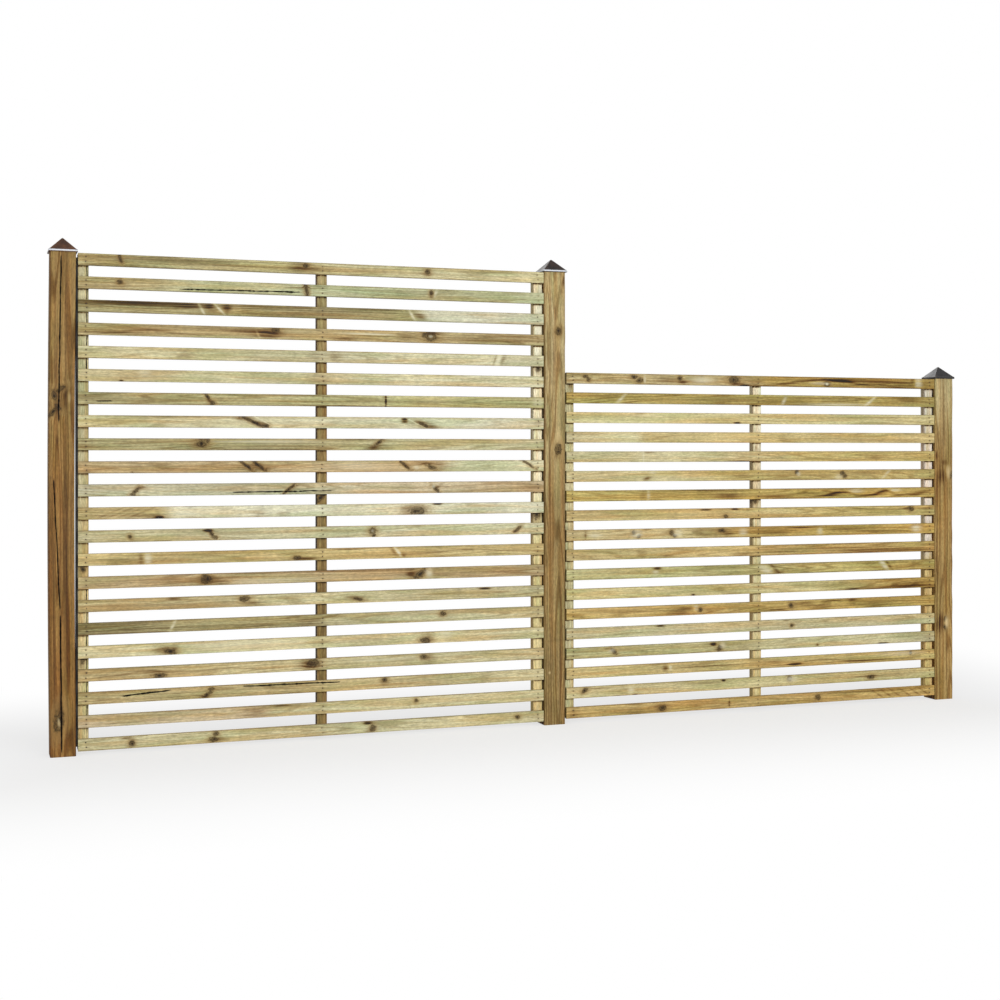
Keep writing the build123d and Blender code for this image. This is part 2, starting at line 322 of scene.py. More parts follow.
LOW_BOARDS: tuple[Board, ...] = (
    Board(Tint.TAN, Tint.AMBER, (
        knot(82, 14, 8, 6), knot(97, 27, 7, 6), knot(298, 14, 12, 7), knot(322, 27, 12, 8),
        pale(346, 22, 4, 20, 0.45), stain(450, 20, 50, 18, 0.4), knot(505, 16, 9, 7),
        stain(520, 33, 22, 8, 0.85), pale(610, 22, 50, 14, 0.4), knot(757, 18, 19, 13),
        stain(762, 34, 20, 10, 0.6), stain(802, 39, 22, 5, 1.6), wave(1200, 42, 190, 30, 5.0, 0.85),
        stain(1275, 14, 60, 10, 0.75), stain(1450, 14, 190, 9, 0.7), wave(1430, 42, 100, 16, 4.5, 0.6),
        pale(1170, 26, 50, 6, 0.45), knot(1205, 30, 11, 8), pale(1206, 30, 6, 5, 0.55),
        stain(1590, 26, 70, 10, 0.5), pale(1664, 20, 22, 22, 0.6), stain(1636, 10, 12, 8, 0.6),
    ), soften=0.1),
    Board(Tint.KHAKI, Tint.KHAKI, (
        pale(240, 24, 9, 24, 0.55, -1.0), pale(995, 26, 8, 20, 0.4, -0.5),
        pale(1425, 20, 11, 24, 0.6, -1.3), stain(1270, 14, 120, 7, 0.35), stain(1600, 16, 150, 12, 0.35),
        pale(1250, 38, 150, 6, 0.4), stain(500, 14, 300, 5, 0.15),
    )),
    Board(Tint.BUFF, Tint.FLAX, (
        stain(772, 40, 16, 4, 1.6), stain(1500, 14, 200, 4, 0.2), stain(900, 30, 200, 4, 0.15),
    )),
    Board(Tint.STRAW, Tint.SAND, (
        stain(345, 20, 30, 18, 0.22), stain(985, 20, 20, 18, 0.25), stain(1400, 36, 250, 4, 0.25),
    ), turn=0.19, soften=0.04),
    Board(Tint.STRAW, Tint.MAIZE, (
        pale(340, 22, 4, 24, 0.45), stain(365, 5, 22, 3, 0.6), stain(810, 42, 70, 3, 0.9),
        stain(1460, 18, 60, 14, 0.3), stain(1440, 30, 30, 8, 0.3), stain(1180, 30, 60, 4, 0.2),
    ), turn=0.55, soften=0.2),
    Board(Tint.BUFF, Tint.MAIZE, (
        stain(355, 34, 16, 10, 0.85, -1.0), pale(382, 8, 16, 8, 0.45), stain(600, 10, 80, 5, 0.2),
        stain(790, 26, 40, 14, 0.35), knot(1057, 10, 8, 7), pale(1066, 18, 10, 8, 0.4),
        knot(1282, 16, 10, 8), knot(1292, 28, 8, 8), pale(1262, 30, 20, 10, 0.35),
        stain(1400, 18, 80, 12, 0.3), pale(1500, 22, 9, 20, 0.4, -1.0), stain(1180, 26, 80, 4, 0.35),
    ), turn=0.35, soften=0.2),
    Board(Tint.KHAKI, Tint.ORANGE, (
        pale(362, 22, 8, 22, 0.3), stain(340, 20, 14, 22, 0.25), stain(640, 4, 200, 3, 0.55),
        stain(700, 14, 200, 6, 0.35), stain(730, 28, 70, 12, 0.55), stain(960, 36, 90, 8, 0.75),
        stain(1180, 36, 90, 7, 0.8, -5.0), stain(1245, 24, 40, 10, 0.85, -3.0),
        wave(1275, 34, 60, 18, 5.0, 0.6), pale(1345, 14, 40, 8, 0.45), stain(1425, 34, 55, 7, 0.8, -4.0),
        stain(1475, 20, 26, 9, 0.85, -3.0), wave(1495, 32, 40, 20, 5.0, 0.6), pale(1545, 12, 30, 7, 0.45),
        stain(1610, 36, 70, 7, 0.8, -5.0), stain(1680, 22, 40, 11, 0.85, -3.0),
        stain(1120, 20, 60, 5, 0.4),
    ), turn=0.45, soften=0.5),
    Board(Tint.SAND, Tint.MAIZE, (
        stain(625, 6, 26, 3, 1.6), knot(718, 35, 9, 6), stain(762, 5, 18, 4, 1.6),
        stain(820, 8, 30, 3, 0.6), stain(1150, 8, 22, 3, 0.8), stain(1350, 10, 120, 3, 0.45),
        knot(1628, 14, 12, 9), stain(1600, 12, 20, 6, 0.6), stain(1710, 20, 30, 16, 0.35),
        stain(700, 14, 60, 5, 0.25),
    ), turn=0.6, soften=0.3),
    Board(Tint.TAN, Tint.AMBER, (
        stain(82, 22, 5, 20, 0.7), pale(125, 24, 30, 12, 0.4), pale(310, 22, 24, 18, 0.5),
        knot(297, 16, 8, 7), knot(318, 30, 7, 7), pale(497, 22, 20, 16, 0.45), knot(468, 18, 8, 8),
        knot(482, 30, 7, 6), stain(650, 20, 90, 18, 0.35), knot(700, 14, 13, 6),
        stain(730, 26, 30, 12, 0.6), pale(800, 22, 20, 14, 0.45), stain(960, 24, 90, 12, 0.55),
        stain(1080, 8, 60, 4, 0.8), pale(1172, 24, 16, 14, 0.5), stain(1300, 22, 110, 10, 0.5),
        stain(1480, 30, 100, 6, 0.4), pale(1655, 20, 24, 16, 0.55),
    ), turn=0.4, soften=0.3),
    Board(Tint.SAND, Tint.GINGER, (
        stain(430, 34, 40, 3, 0.45), stain(800, 34, 60, 7, 0.85), stain(1000, 30, 100, 5, 0.35),
        stain(1470, 34, 240, 9, 0.65), stain(1250, 20, 200, 4, 0.35), stain(200, 14, 160, 4, 0.25),
    )),
    Board(Tint.GREEN, Tint.KHAKI, (
        stain(402, 6, 20, 5, 1.6), pale(395, 22, 14, 14, 0.35), pale(905, 22, 26, 16, 0.55, 1.0),
        stain(948, 18, 12, 20, 0.85, 1.0), stain(975, 38, 20, 4, 0.6), stain(1410, 14, 30, 8, 0.35),
        pale(1490, 18, 14, 24, 0.55, 0.8), stain(1516, 20, 8, 20, 0.7, 0.8),
    )),
    Board(Tint.FLAX, Tint.AMBER, (
        stain(567, 40, 9, 4, 1.6), stain(1520, 36, 200, 10, 0.7), stain(1640, 28, 100, 12, 0.55),
        stain(1330, 40, 30, 4, 0.8), stain(1100, 18, 200, 4, 0.2),
    ), turn=0.75, soften=0.3),
    Board(Tint.HONEY, Tint.ORANGE, (
        stain(250, 20, 200, 4, 0.3), stain(500, 30, 70, 9, 0.75), stain(540, 16, 50, 5, 0.6),
        pale(578, 16, 14, 12, 0.45), knot(600, 24, 8, 7), stain(640, 30, 20, 8, 0.6),
        stain(950, 36, 60, 5, 0.7), knot(1030, 20, 9, 8), stain(1100, 14, 50, 9, 0.7),
        stain(1180, 28, 60, 6, 0.6), stain(1240, 6, 50, 4, 0.8), stain(1330, 6, 24, 5, 0.9),
        stain(1330, 20, 25, 12, 0.4), stain(1450, 30, 100, 8, 0.35),
    )),
    Board(Tint.STRAW, Tint.STRAW, (
        stain(417, 4, 18, 4, 1.6), stain(1005, 4, 15, 3, 0.7), knot(1033, 26, 7, 6),
        stain(1600, 24, 120, 4, 0.25),
    )),
    Board(Tint.GREEN, Tint.STRAW, (
        pale(195, 14, 16, 12, 0.3), knot(208, 20, 8, 11, 0.6), stain(660, 10, 14, 7, 1.6),
        knot(688, 28, 9, 10), pale(704, 18, 14, 14, 0.35), stain(685, 36, 26, 6, 0.4),
        stain(1158, 34, 7, 4, 1.6), stain(1487, 41, 25, 3, 1.6), stain(1600, 14, 90, 5, 0.4, -4.0),
        stain(180, 8, 18, 5, 0.5),
    )),
    Board(Tint.SAND, Tint.MAIZE, (
        stain(440, 20, 14, 14, 0.7), pale(462, 20, 8, 12, 0.55), stain(640, 22, 170, 3, 0.6),
        stain(600, 10, 200, 3, 0.35), stain(950, 16, 50, 6, 0.55), stain(1050, 32, 32, 5, 1.6),
        wave(1180, 34, 120, 14, 4.0, 0.55), stain(1450, 32, 180, 4, 0.6), pale(1560, 12, 120, 8, 0.4),
        knot(1626, 10, 7, 6),
    )),
    Board(Tint.BUFF, Tint.FLAX, (
        knot(78, 14, 10, 8, -0.5), stain(140, 8, 50, 3, 0.5), pale(285, 26, 14, 14, 0.45),
        stain(300, 42, 12, 3, 0.8), stain(640, 12, 90, 5, 0.5), stain(708, 5, 9, 4, 1.6),
        pale(1032, 16, 26, 12, 0.5), knot(1022, 12, 8, 8), stain(1405, 22, 60, 3, 0.6),
        knot(1425, 28, 14, 8), stain(1560, 20, 120, 3, 0.45),
    )),
    Board(Tint.HONEY, Tint.GINGER, (
        stain(30, 22, 30, 22, 0.35), stain(300, 34, 100, 4, 0.5), knot(425, 26, 14, 9),
        stain(415, 20, 40, 16, 0.4), stain(735, 22, 4, 18, 0.9), stain(640, 24, 80, 14, 0.2),
        knot(1160, 22, 10, 9), stain(1400, 8, 200, 3, 0.5),
        *(stain(along, 24, 8, 18, 0.5, 1.6) for along in (1460, 1505, 1550, 1600, 1650, 1695)),
    ), turn=0.75, soften=0.3),
)

POST_BOARDS: dict[Side, Board] = {
    Side.LEFT: Board(Tint.EARTH, Tint.CLAY, (
        knot(130, 31, 30, 14, 0.6), pale(126, 32, 18, 5, 0.7, -0.8), stain(175, 36, 60, 8, 0.5),
        stain(90, 66, 60, 14, 0.35), knot(1240, 14, 9, 12, 0.9), knot(1256, 32, 8, 9, -0.7),
        knot(1298, 18, 14, 9, -0.9), knot(1322, 38, 8, 15, 0.5), stain(1246, 24, 26, 18, 0.5),
        stain(1308, 46, 28, 30, 0.55), pale(1296, 72, 24, 8, 0.6), stain(1270, 50, 22, 14, 0.4),
        stain(600, 62, 400, 4, 0.55), stain(1400, 20, 60, 5, 0.45), stain(850, 54, 260, 3, 0.6),
        stain(1550, 56, 220, 4, 0.5), stain(900, 78, 600, 4, 0.4), stain(300, 70, 240, 3, 0.45),
        stain(400, 18, 300, 4, 0.5), stain(760, 12, 220, 4, 0.5), stain(1600, 18, 200, 4, 0.45),
        stain(1100, 30, 140, 3, 0.5),
    ), (split(5, 520, 40, 39, 4.6), split(520, 1010, 39, 17, 3.6), split(1190, 1815, 34, 38, 4.2))),
    Side.MIDDLE: Board(Tint.UMBER, Tint.FAWN, (
        pale(210, 22, 5, 5, 0.6), stain(760, 62, 180, 5, 0.45), wave(800, 66, 180, 12, 4.0, 0.4),
        knot(1105, 60, 18, 12), pale(1152, 62, 30, 9, 0.5), stain(1080, 52, 26, 10, 0.45),
        stain(1420, 46, 240, 4, 0.4), knot(1580, 60, 14, 10), stain(1594, 66, 30, 14, 0.4),
        pale(1606, 58, 16, 8, 0.4), stain(1780, 82, 20, 5, 0.7), stain(400, 30, 300, 4, 0.35),
        stain(1000, 22, 240, 4, 0.35), stain(250, 70, 220, 5, 0.35), stain(560, 48, 200, 4, 0.35),
        stain(1290, 70, 160, 4, 0.35),
    ), turn=0.6, soften=0.5),
    Side.RIGHT: Board(Tint.RUSSET, Tint.TAN, (
        stain(330, 24, 38, 22, 0.75), knot(320, 50, 9, 7), knot(354, 52, 9, 7),
        pale(338, 58, 24, 12, 0.8), stain(365, 30, 24, 12, 0.4), stain(700, 8, 600, 4, 0.5),
        stain(985, 34, 34, 24, 0.75), stain(1047, 48, 12, 18, 0.6), pale(1004, 66, 28, 11, 0.8),
        knot(992, 80, 12, 6), stain(1077, 6, 18, 5, 0.9), stain(1240, 40, 200, 4, 0.4),
        stain(560, 30, 220, 4, 0.4), stain(180, 60, 140, 5, 0.35), stain(700, 62, 180, 4, 0.35),
        # painted highlight along the post's lit left edge
        pale(700, 0, 760, 2.5, 0.45),
    ), turn=0.85, soften=0.3),
}

BATTEN_BOARDS: dict[tuple[str, Side], Board] = {
    ("tall", Side.LEFT): Board(Tint.WHEAT, Tint.STRAW, (
        knot(330, 20, 14, 9, 1.0), knot(655, 18, 11, 8), stain(500, 8, 400, 4, 0.25),
    ), (split(40, 640, 32, 31, 2.8), split(1330, 1790, 31, 32.5, 3.2)), soften=0.3),
    ("tall", Side.MIDDLE): Board(Tint.UMBER, Tint.FAWN, (
        knot(905, 14, 12, 16, 1.0), stain(925, 26, 22, 10, 0.6, 1.0), stain(500, 24, 200, 5, 0.3),
    ), turn=0.85, soften=0.3),
    ("tall", Side.RIGHT): Board(Tint.WHEAT, Tint.CREAM, (
        knot(828, 15, 17, 12), stain(345, 28, 12, 8, 0.8), knot(1408, 20, 8, 8), stain(400, 30, 12, 5, 0.6),
    ), soften=0.3),
    ("low", Side.LEFT): Board(Tint.STRAW, Tint.STRAW, (
        stain(640, 20, 16, 6, 0.8), stain(500, 12, 300, 4, 0.2), stain(1340, 22, 14, 8, 0.7),
    )),
    ("low", Side.MIDDLE): Board(Tint.WHEAT, Tint.CREAM, (
        knot(865, 10, 10, 9), stain(1090, 12, 10, 6, 0.6), stain(300, 20, 200, 4, 0.25),
    )),
    ("low", Side.RIGHT): Board(Tint.GOLD, Tint.BLUSH, (
        stain(420, 12, 90, 8, 0.4), stain(560, 28, 60, 6, 0.3),
    ), turn=0.44, soften=0.1),
}


def smooth_step(value: np.ndarray) -> np.ndarray:
    """Eases 0..1 with level ends, and holds outside."""
    held = np.clip(value, 0.0, 1.0)
    return held * held * (3.0 - 2.0 * held)


def wander(rng: np.random.Generator, along: np.ndarray, step: float) -> np.ndarray:
    """Smooth random values along a line: seeded heights every step, eased from one to the next.

    Args:
        rng: The piece's own random numbers.
        along: Places along the line, rising.
        step: Distance between the random heights.

    Returns:
        One value for each place, with a spread of about one.
    """
    places = (along - along[0]) / step
    heights = rng.normal(size=int(places[-1]) + 3)
    before = np.floor(places).astype(int)
    share = smooth_step(places - before)
    return heights[before] * (1.0 - share) + heights[before + 1] * share


def linked(name: str, data: bpy.types.ID) -> bpy.types.Object:
    """Adds an object to the scene.

    Args:
        name: The object's name.
        data: The mesh, lamp or camera that it holds.

    Returns:
        The new object.
    """
    made = bpy.data.objects.new(name, data)
    bpy.context.scene.collection.objects.link(made)
    return made


def ring_quads(rings: int, count: int) -> tuple[np.ndarray, np.ndarray, np.ndarray]:
    """Faces between closed rings of points that are numbered ring by ring.

    Args:
        rings: How many rings there are.
        count: Points in a ring.

    Returns:
        Each face's ring, its column and its four corners, as (rings - 1, count) and (rings - 1, count, 4).
    """
    row, column = np.meshgrid(np.arange(rings - 1), np.arange(count), indexing="ij")
    beside = (column + 1) % count
    here = row * count
    above = (row + 1) * count
    return row, column, np.stack([here + column, here + beside, above + beside, above + column], -1)


def loft_object(
    name: str, points: np.ndarray, grain: np.ndarray, fields: dict[str, np.ndarray], sharp_angle: float
) -> bpy.types.Object:
    """Joins rings of points into a closed skin, with a flat end at each side.

    Args:
        name: The object's name.
        points: Places, one ring to a row: (rings, ring points, 3).
        grain: UV places, with one more column than the rings: (rings, ring points + 1, 2).
        fields: Values kept on the points by name, one or four to a point.
        sharp_angle: Edges that bend more than this stay crisp, in degrees.

    Returns:
        The new object, linked to the scene.
    """
    rings, count = points.shape[:2]
    row, column, quads = ring_quads(rings, count)
    first_end = np.arange(count)[::-1]
    last_end = (rings - 1) * count + np.arange(count)
    faces = quads.reshape(-1, 4).tolist() + [first_end.tolist(), last_end.tolist()]
    mesh = bpy.data.meshes.new(name)
    mesh.from_pydata(points.reshape(-1, 3), [], faces)
    uv = np.stack(
        [grain[row, column], grain[row, column + 1], grain[row + 1, column + 1], grain[row + 1, column]], -2
    )
    ends = np.concatenate([points[0, ::-1, :2], points[-1, :, :2]])
    layer = mesh.uv_layers.new(name="grain")
    layer.data.foreach_set("uv", np.concatenate([uv.reshape(-1, 2), ends]).ravel())
    for key, values in fields.items():
        if values.ndim == 3:
            attribute = mesh.attributes.new(key, "FLOAT_COLOR", "POINT")
            attribute.data.foreach_set("color", values.ravel())
        else:
            attribute = mesh.attributes.new(key, "FLOAT", "POINT")
            attribute.data.foreach_set("value", values.ravel())
    mesh.shade_smooth()
    mesh.set_sharp_from_angle(angle=math.radians(sharp_angle))
    return linked(name, mesh)


class NodeSheet:
    """A node tree, with short ways to add and join nodes."""

    MIX_SHARE = 0  # the Mix node's sockets for colours
    MIX_FIRST = 6
    MIX_SECOND = 7
    MIX_RESULT = 2

    def __init__(self, tree: bpy.types.NodeTree) -> None:
        """Starts with an empty tree."""
        self.tree = tree
        tree.nodes.clear()

    def add(self, kind: str) -> bpy.types.Node:
        """A new node of a kind, named without its first word."""
        return self.tree.nodes.new(f"ShaderNode{kind}")

    def put(self, socket: bpy.types.NodeSocket, value: object) -> None:
        """Sets a socket to a constant, or joins another socket to it.

        Args:
            socket: The input to fill.
            value: A constant, or another node's output.
        """
        if isinstance(value, bpy.types.NodeSocket):
            self.tree.links.new(value, socket)
        else:
            socket.default_value = value

    def attribute(self, name: str, output: str) -> bpy.types.NodeSocket:
        """Reads one of the piece's own attributes.

        Args:
            name: The attribute's name.
            output: Which of the node's outputs to take.

        Returns:
            The attribute's value.
        """
        node = self.add("Attribute")
        node.attribute_name = name
        return node.outputs[output]

    def grain(self) -> bpy.types.NodeSocket:
        """Reads the piece's own UV map, which runs along the grain.

        Returns:
            The place on the map.
        """
        node = self.add("UVMap")
        node.uv_map = "grain"
        return node.outputs["UV"]

    def place(self) -> bpy.types.NodeSocket:
        """Reads Object coordinates."""
        return self.add("TexCoord").outputs["Object"]

    def stretched(
        self, vector: bpy.types.NodeSocket, factors: tuple[float, float, float]
    ) -> bpy.types.NodeSocket:
        """Multiplies a vector by three constants.

        Args:
            vector: The vector.
            factors: One factor for each of its parts.

        Returns:
            The stretched vector.
        """
        node = self.add("VectorMath")
        node.operation = "MULTIPLY"
        self.put(node.inputs[0], vector)
        self.put(node.inputs[1], factors)
        return node.outputs["Vector"]

    def noise(
        self, vector: bpy.types.NodeSocket, detail: float, roughness: float = 0.5, distortion: float = 0.0
    ) -> bpy.types.NodeSocket:
        """Cloudy values from 0 to 1, with a grain of about one unit of the vector.

        Args:
            vector: Where the clouds are read.
            detail: How many finer layers are added.
            roughness: How strong each finer layer is.
            distortion: How far the clouds are pulled out of shape.

        Returns:
            The cloudy value.
        """
        node = self.add("TexNoise")
        self.put(node.inputs["Vector"], vector)
        self.put(node.inputs["Scale"], 1.0)
        self.put(node.inputs["Detail"], detail)
        self.put(node.inputs["Roughness"], roughness)
        self.put(node.inputs["Distortion"], distortion)
        return node.outputs["Fac"]

    def ranged(
        self, value: bpy.types.NodeSocket, low: float, high: float, to_low: float, to_high: float
    ) -> bpy.types.NodeSocket:
        """Carries low..high to to_low..to_high with eased ends, and holds outside.

        Args:
            value: The value to carry over.
            low: Start of its range.
            high: End of its range.
            to_low: What the start becomes.
            to_high: What the end becomes.

        Returns:
            The carried value.
        """
        node = self.add("MapRange")
        node.interpolation_type = "SMOOTHSTEP"
        for socket, part in zip(node.inputs, (value, low, high, to_low, to_high)):
            self.put(socket, part)
        return node.outputs["Result"]

    def held(self, value: bpy.types.NodeSocket) -> bpy.types.NodeSocket:
        """Holds a value to 0..1.

        Args:
            value: The value.

        Returns:
            The held value.
        """
        node = self.add("Clamp")
        self.put(node.inputs["Value"], value)
        return node.outputs["Result"]

    def maths(self, operation: str, *values: object) -> bpy.types.NodeSocket:
        """One sum on up to three values.

        Args:
            operation: Blender's name for the sum.
            values: Constants or outputs, in the sum's order.

        Returns:
            The result, which isn't held to a range.
        """
        node = self.add("Math")
        node.operation = operation
        for socket, value in zip(node.inputs, values):
            self.put(socket, value)
        return node.outputs["Value"]

    def parted(self, vector: bpy.types.NodeSocket) -> bpy.types.bpy_prop_collection:
        """The three parts of a vector, by name.

        Args:
            vector: The vector.

        Returns:
            The outputs X, Y and Z.
        """
        node = self.add("SeparateXYZ")
        self.put(node.inputs["Vector"], vector)
        return node.outputs

    def mixed(
        self, share: object, first: object, second: object, blend: str = "MIX"
    ) -> bpy.types.NodeSocket:
        """Mixes two colours by a share from 0 to 1.

        Args:
            share: How much of the second colour is taken.
            first: The first colour.
            second: The second colour.
            blend: Blender's name for the way they mix.

        Returns:
            The mixed colour.
        """
        node = self.add("Mix")
        node.data_type = "RGBA"
        node.blend_type = blend
        self.put(node.inputs[self.MIX_SHARE], share)
        self.put(node.inputs[self.MIX_FIRST], first)
        self.put(node.inputs[self.MIX_SECOND], second)
        return node.outputs[self.MIX_RESULT]

    def ramp(self, value: bpy.types.NodeSocket, stops: tuple[tuple[float, Colour], ...]) -> bpy.types.Node:
        """A colour ramp whose alpha says how much of it shows.

        Args:
            value: Where on the ramp to read.
            stops: Places on the ramp, each with its colour.

        Returns:
            The ramp node, with its outputs Color and Alpha.
        """
        node = self.add("ValToRGB")
        self.put(node.inputs["Fac"], value)
        elements = node.color_ramp.elements
        while len(elements) < len(stops):
            elements.new(0.5)
        for element, (position, colour) in zip(elements, stops):
            element.position = position
            element.color = colour
        return node


class MaterialSheet(NodeSheet):
    """A material's node tree, which ends in one surface shader."""

    def __init__(self, name: str) -> None:
        """Starts an empty material.

        Args:
            name: The material's name.
        """
        self.material = bpy.data.materials.new(name)
        self.material.use_nodes = True
        super().__init__(self.material.node_tree)
        self.surface = self.add("BsdfPrincipled")
        self.output = self.add("OutputMaterial")
        self.put(self.output.inputs["Surface"], self.surface.outputs["BSDF"])

    def bump(self, height: bpy.types.NodeSocket, distance: float) -> None:
        """Gives the surface a fine relief.

        Args:
            height: The relief, in parts of the distance.
            distance: How far a height of one stands out, in metres.
        """
        node = self.add("Bump")
        self.put(node.inputs["Strength"], 1.0)
        self.put(node.inputs["Distance"], distance)
        self.put(node.inputs["Height"], height)
        self.tree.links.new(node.outputs["Normal"], self.surface.inputs["Normal"])

    def finish(self, colour: object, roughness: object, metallic: float = 0.0, shine: float = 0.5) -> None:
        """Joins the colour and the roughness to the surface shader.

        Args:
            colour: The base colour.
            roughness: From 0, a mirror, to 1, chalk.
            metallic: How far the surface is bare metal.
            shine: The specular level.
        """
        self.put(self.surface.inputs["Base Color"], colour)
        self.put(self.surface.inputs["Roughness"], roughness)
        self.put(self.surface.inputs["Metallic"], metallic)
        self.put(self.surface.inputs["Specular IOR Level"], shine)


@dataclass(frozen=True)
class TimberFinish:
    """Planed, pressure-treated pine: growth rings, fibre, knots, stains and splits over the piece's tint,
    with painted shade in the splits.
    """

    name: str
    ring_rate: float = 115.0  # streaks to a metre across the face
    line_rate: float = 19.0  # slow waves to a metre across the face, whose contours are the growth lines
    line_turns: float = 95.0  # how close the contours lie
    ring_strength: float = 1.0
    fibre_strength: float = 0.32
    fibre_rates: tuple[float, float, float] = (22.0, 900.0, 0.0)  # to a metre, along and across the grain
    damp_rates: tuple[float, float, float] = (3.5, 26.0, 0.0)
    warm_rates: tuple[float, float, float] = (2.3, 40.0, 0.0)
    patch_rates: tuple[float, float, float] = (60.0, 190.0, 0.0)
    tear_rates: tuple[float, float, float] = (85.0, 160.0, 0.0)  # raggedness of the knots
    tear_depth: float = 0.52  # how far it moves a knot's outline
    knot_stops: tuple[tuple[float, Colour], ...] = (  # from a knot's heart outwards
        (0.00, (0.020, 0.013, 0.005, 1.0)),
        (0.10, (0.055, 0.033, 0.011, 0.95)),
        (0.16, (0.150, 0.095, 0.030, 0.90)),
        (0.23, (0.046, 0.029, 0.009, 0.94)),
        (0.31, (0.170, 0.104, 0.032, 0.78)),
        (0.46, (0.320, 0.205, 0.070, 0.46)),
        (0.85, (0.420, 0.300, 0.120, 0.0)),
    )
    late_wood: Colour = (0.50, 0.40, 0.28, 1.0)
    green_wood: Colour = (0.80, 0.86, 0.76, 1.0)
    warm_wood: Colour = (0.98, 0.84, 0.70, 1.0)
    stained_wood: Colour = (0.29, 0.172, 0.060, 1.0)
    bleach_colour: Colour = (0.74, 0.70, 0.50, 1.0)
    # near black: painted shade in the splits, also used for the darkest stains
    shade_and_stain_black: Colour = (0.008, 0.006, 0.004, 1.0)
    relief: float = 0.0004

    def material(self) -> bpy.types.Material:
        """Builds the material.

        Returns:
            A node material that reads the grain map and the tint, knot, stain and crack attributes.
        """
        sheet = MaterialSheet(self.name)
        grain = sheet.grain()
        tint = sheet.attribute("tint", "Color")
        ring_noise = sheet.noise(sheet.stretched(grain, (1.1, self.ring_rate, 0.0)), 3.0, 0.55, 0.35)
        streaks = sheet.ranged(ring_noise, 0.40, 0.68, 0.0, 0.7 * self.ring_strength)
        waves = sheet.noise(sheet.stretched(grain, (0.8, self.line_rate, 0.0)), 1.0, 0.4)
        lines = sheet.maths("SINE", sheet.maths("MULTIPLY", waves, self.line_turns))
        growth = sheet.ranged(lines, -0.1, 1.0, 0.0, 0.75 * self.ring_strength)
        bands = sheet.maths("MAXIMUM", streaks, growth)
        late = sheet.held(sheet.maths("MULTIPLY", bands, sheet.attribute("tint", "Alpha")))
        fibre = sheet.noise(sheet.stretched(grain, self.fibre_rates), 2.0)
        damp_clouds = sheet.noise(sheet.stretched(grain, self.damp_rates), 3.0)
        damp = sheet.ranged(damp_clouds, 0.42, 0.66, 0.0, 1.0)
        warm_clouds = sheet.noise(sheet.stretched(grain, self.warm_rates), 3.0)
        warm = sheet.ranged(warm_clouds, 0.42, 0.66, 0.0, 1.0)
        patches = sheet.noise(sheet.stretched(grain, self.patch_rates), 3.0, 0.6)
        colour = sheet.mixed(damp, tint, sheet.mixed(1.0, tint, self.green_wood, "MULTIPLY"))
        colour = sheet.mixed(warm, colour, sheet.mixed(1.0, colour, self.warm_wood, "MULTIPLY"))
        colour = sheet.mixed(late, colour, sheet.mixed(1.0, colour, self.late_wood, "MULTIPLY"))
        dull = 1.0 - self.fibre_strength
        bright = 1.0 + 0.5 * self.fibre_strength
        colour = sheet.mixed(1.0, colour, sheet.ranged(fibre, 0.25, 0.75, dull, bright), "MULTIPLY")
        colour = sheet.mixed(1.0, colour, sheet.ranged(patches, 0.3, 0.7, 0.80, 1.14), "MULTIPLY")
        colour = self.knotted(sheet, colour, grain)
        colour = self.bleached_and_stained(sheet, colour, ring_noise)
        # painted shade: the splits darken to near black
        crack = sheet.attribute("crack", "Fac")
        colour = sheet.mixed(sheet.ranged(crack, 0.15, 0.6, 0.0, 1.0), colour, self.shade_and_stain_black)
        sheet.bump(sheet.maths("MULTIPLY_ADD", fibre, 0.5, ring_noise), self.relief)
        sheet.finish(colour, sheet.ranged(ring_noise, 0.3, 0.7, 0.82, 0.66), shine=0.25)
        return sheet.material

    def bleached_and_stained(
        self, sheet: MaterialSheet, colour: bpy.types.NodeSocket, streaks: bpy.types.NodeSocket
    ) -> bpy.types.NodeSocket:
        """Darkens along the streaks where the stain attribute is above zero, and bleaches where it is below.
        Above zero it carries real stains and also painted shade.

        Args:
            sheet: The material's nodes.
            colour: The timber's colour so far.
            streaks: The cloudy streaks that run along the grain.

        Returns:
            The marked colour.
        """
        amount = sheet.attribute("stain", "Fac")
        broken = sheet.ranged(streaks, 0.32, 0.64, 0.55, 1.5)
        dark = sheet.maths("MULTIPLY", amount, broken)
        light = sheet.maths("MULTIPLY", dark, -1.0)
        colour = sheet.mixed(sheet.held(light), colour, self.bleach_colour)
        stained = sheet.mixed(1.0, colour, self.stained_wood, "MULTIPLY")
        colour = sheet.mixed(sheet.held(dark), colour, stained)
        # the darkest stains, with the painted shadow lines under slats, go near black
        return sheet.mixed(sheet.ranged(dark, 0.95, 1.45, 0.0, 0.9), colour, self.shade_and_stain_black)

    def knotted(
        self, sheet: MaterialSheet, colour: bpy.types.NodeSocket, grain: bpy.types.NodeSocket
    ) -> bpy.types.NodeSocket:
        """Lays ragged dark hearts, rims and warm halos over the colour, from the knot attribute.

        Args:
            sheet: The material's nodes.
            colour: The timber's colour so far.
            grain: The place on the grain map.

        Returns:
            The knotted colour.
        """
        torn = sheet.noise(sheet.stretched(grain, self.tear_rates), 2.0, 0.5, 0.4)
        rough = sheet.maths("MULTIPLY_ADD", torn, self.tear_depth, sheet.attribute("knot", "Fac"))
        reach = sheet.maths("SUBTRACT", rough, 0.5 * self.tear_depth)
        ramp = sheet.ramp(reach, self.knot_stops)
        return sheet.mixed(ramp.outputs["Alpha"], colour, ramp.outputs["Color"])


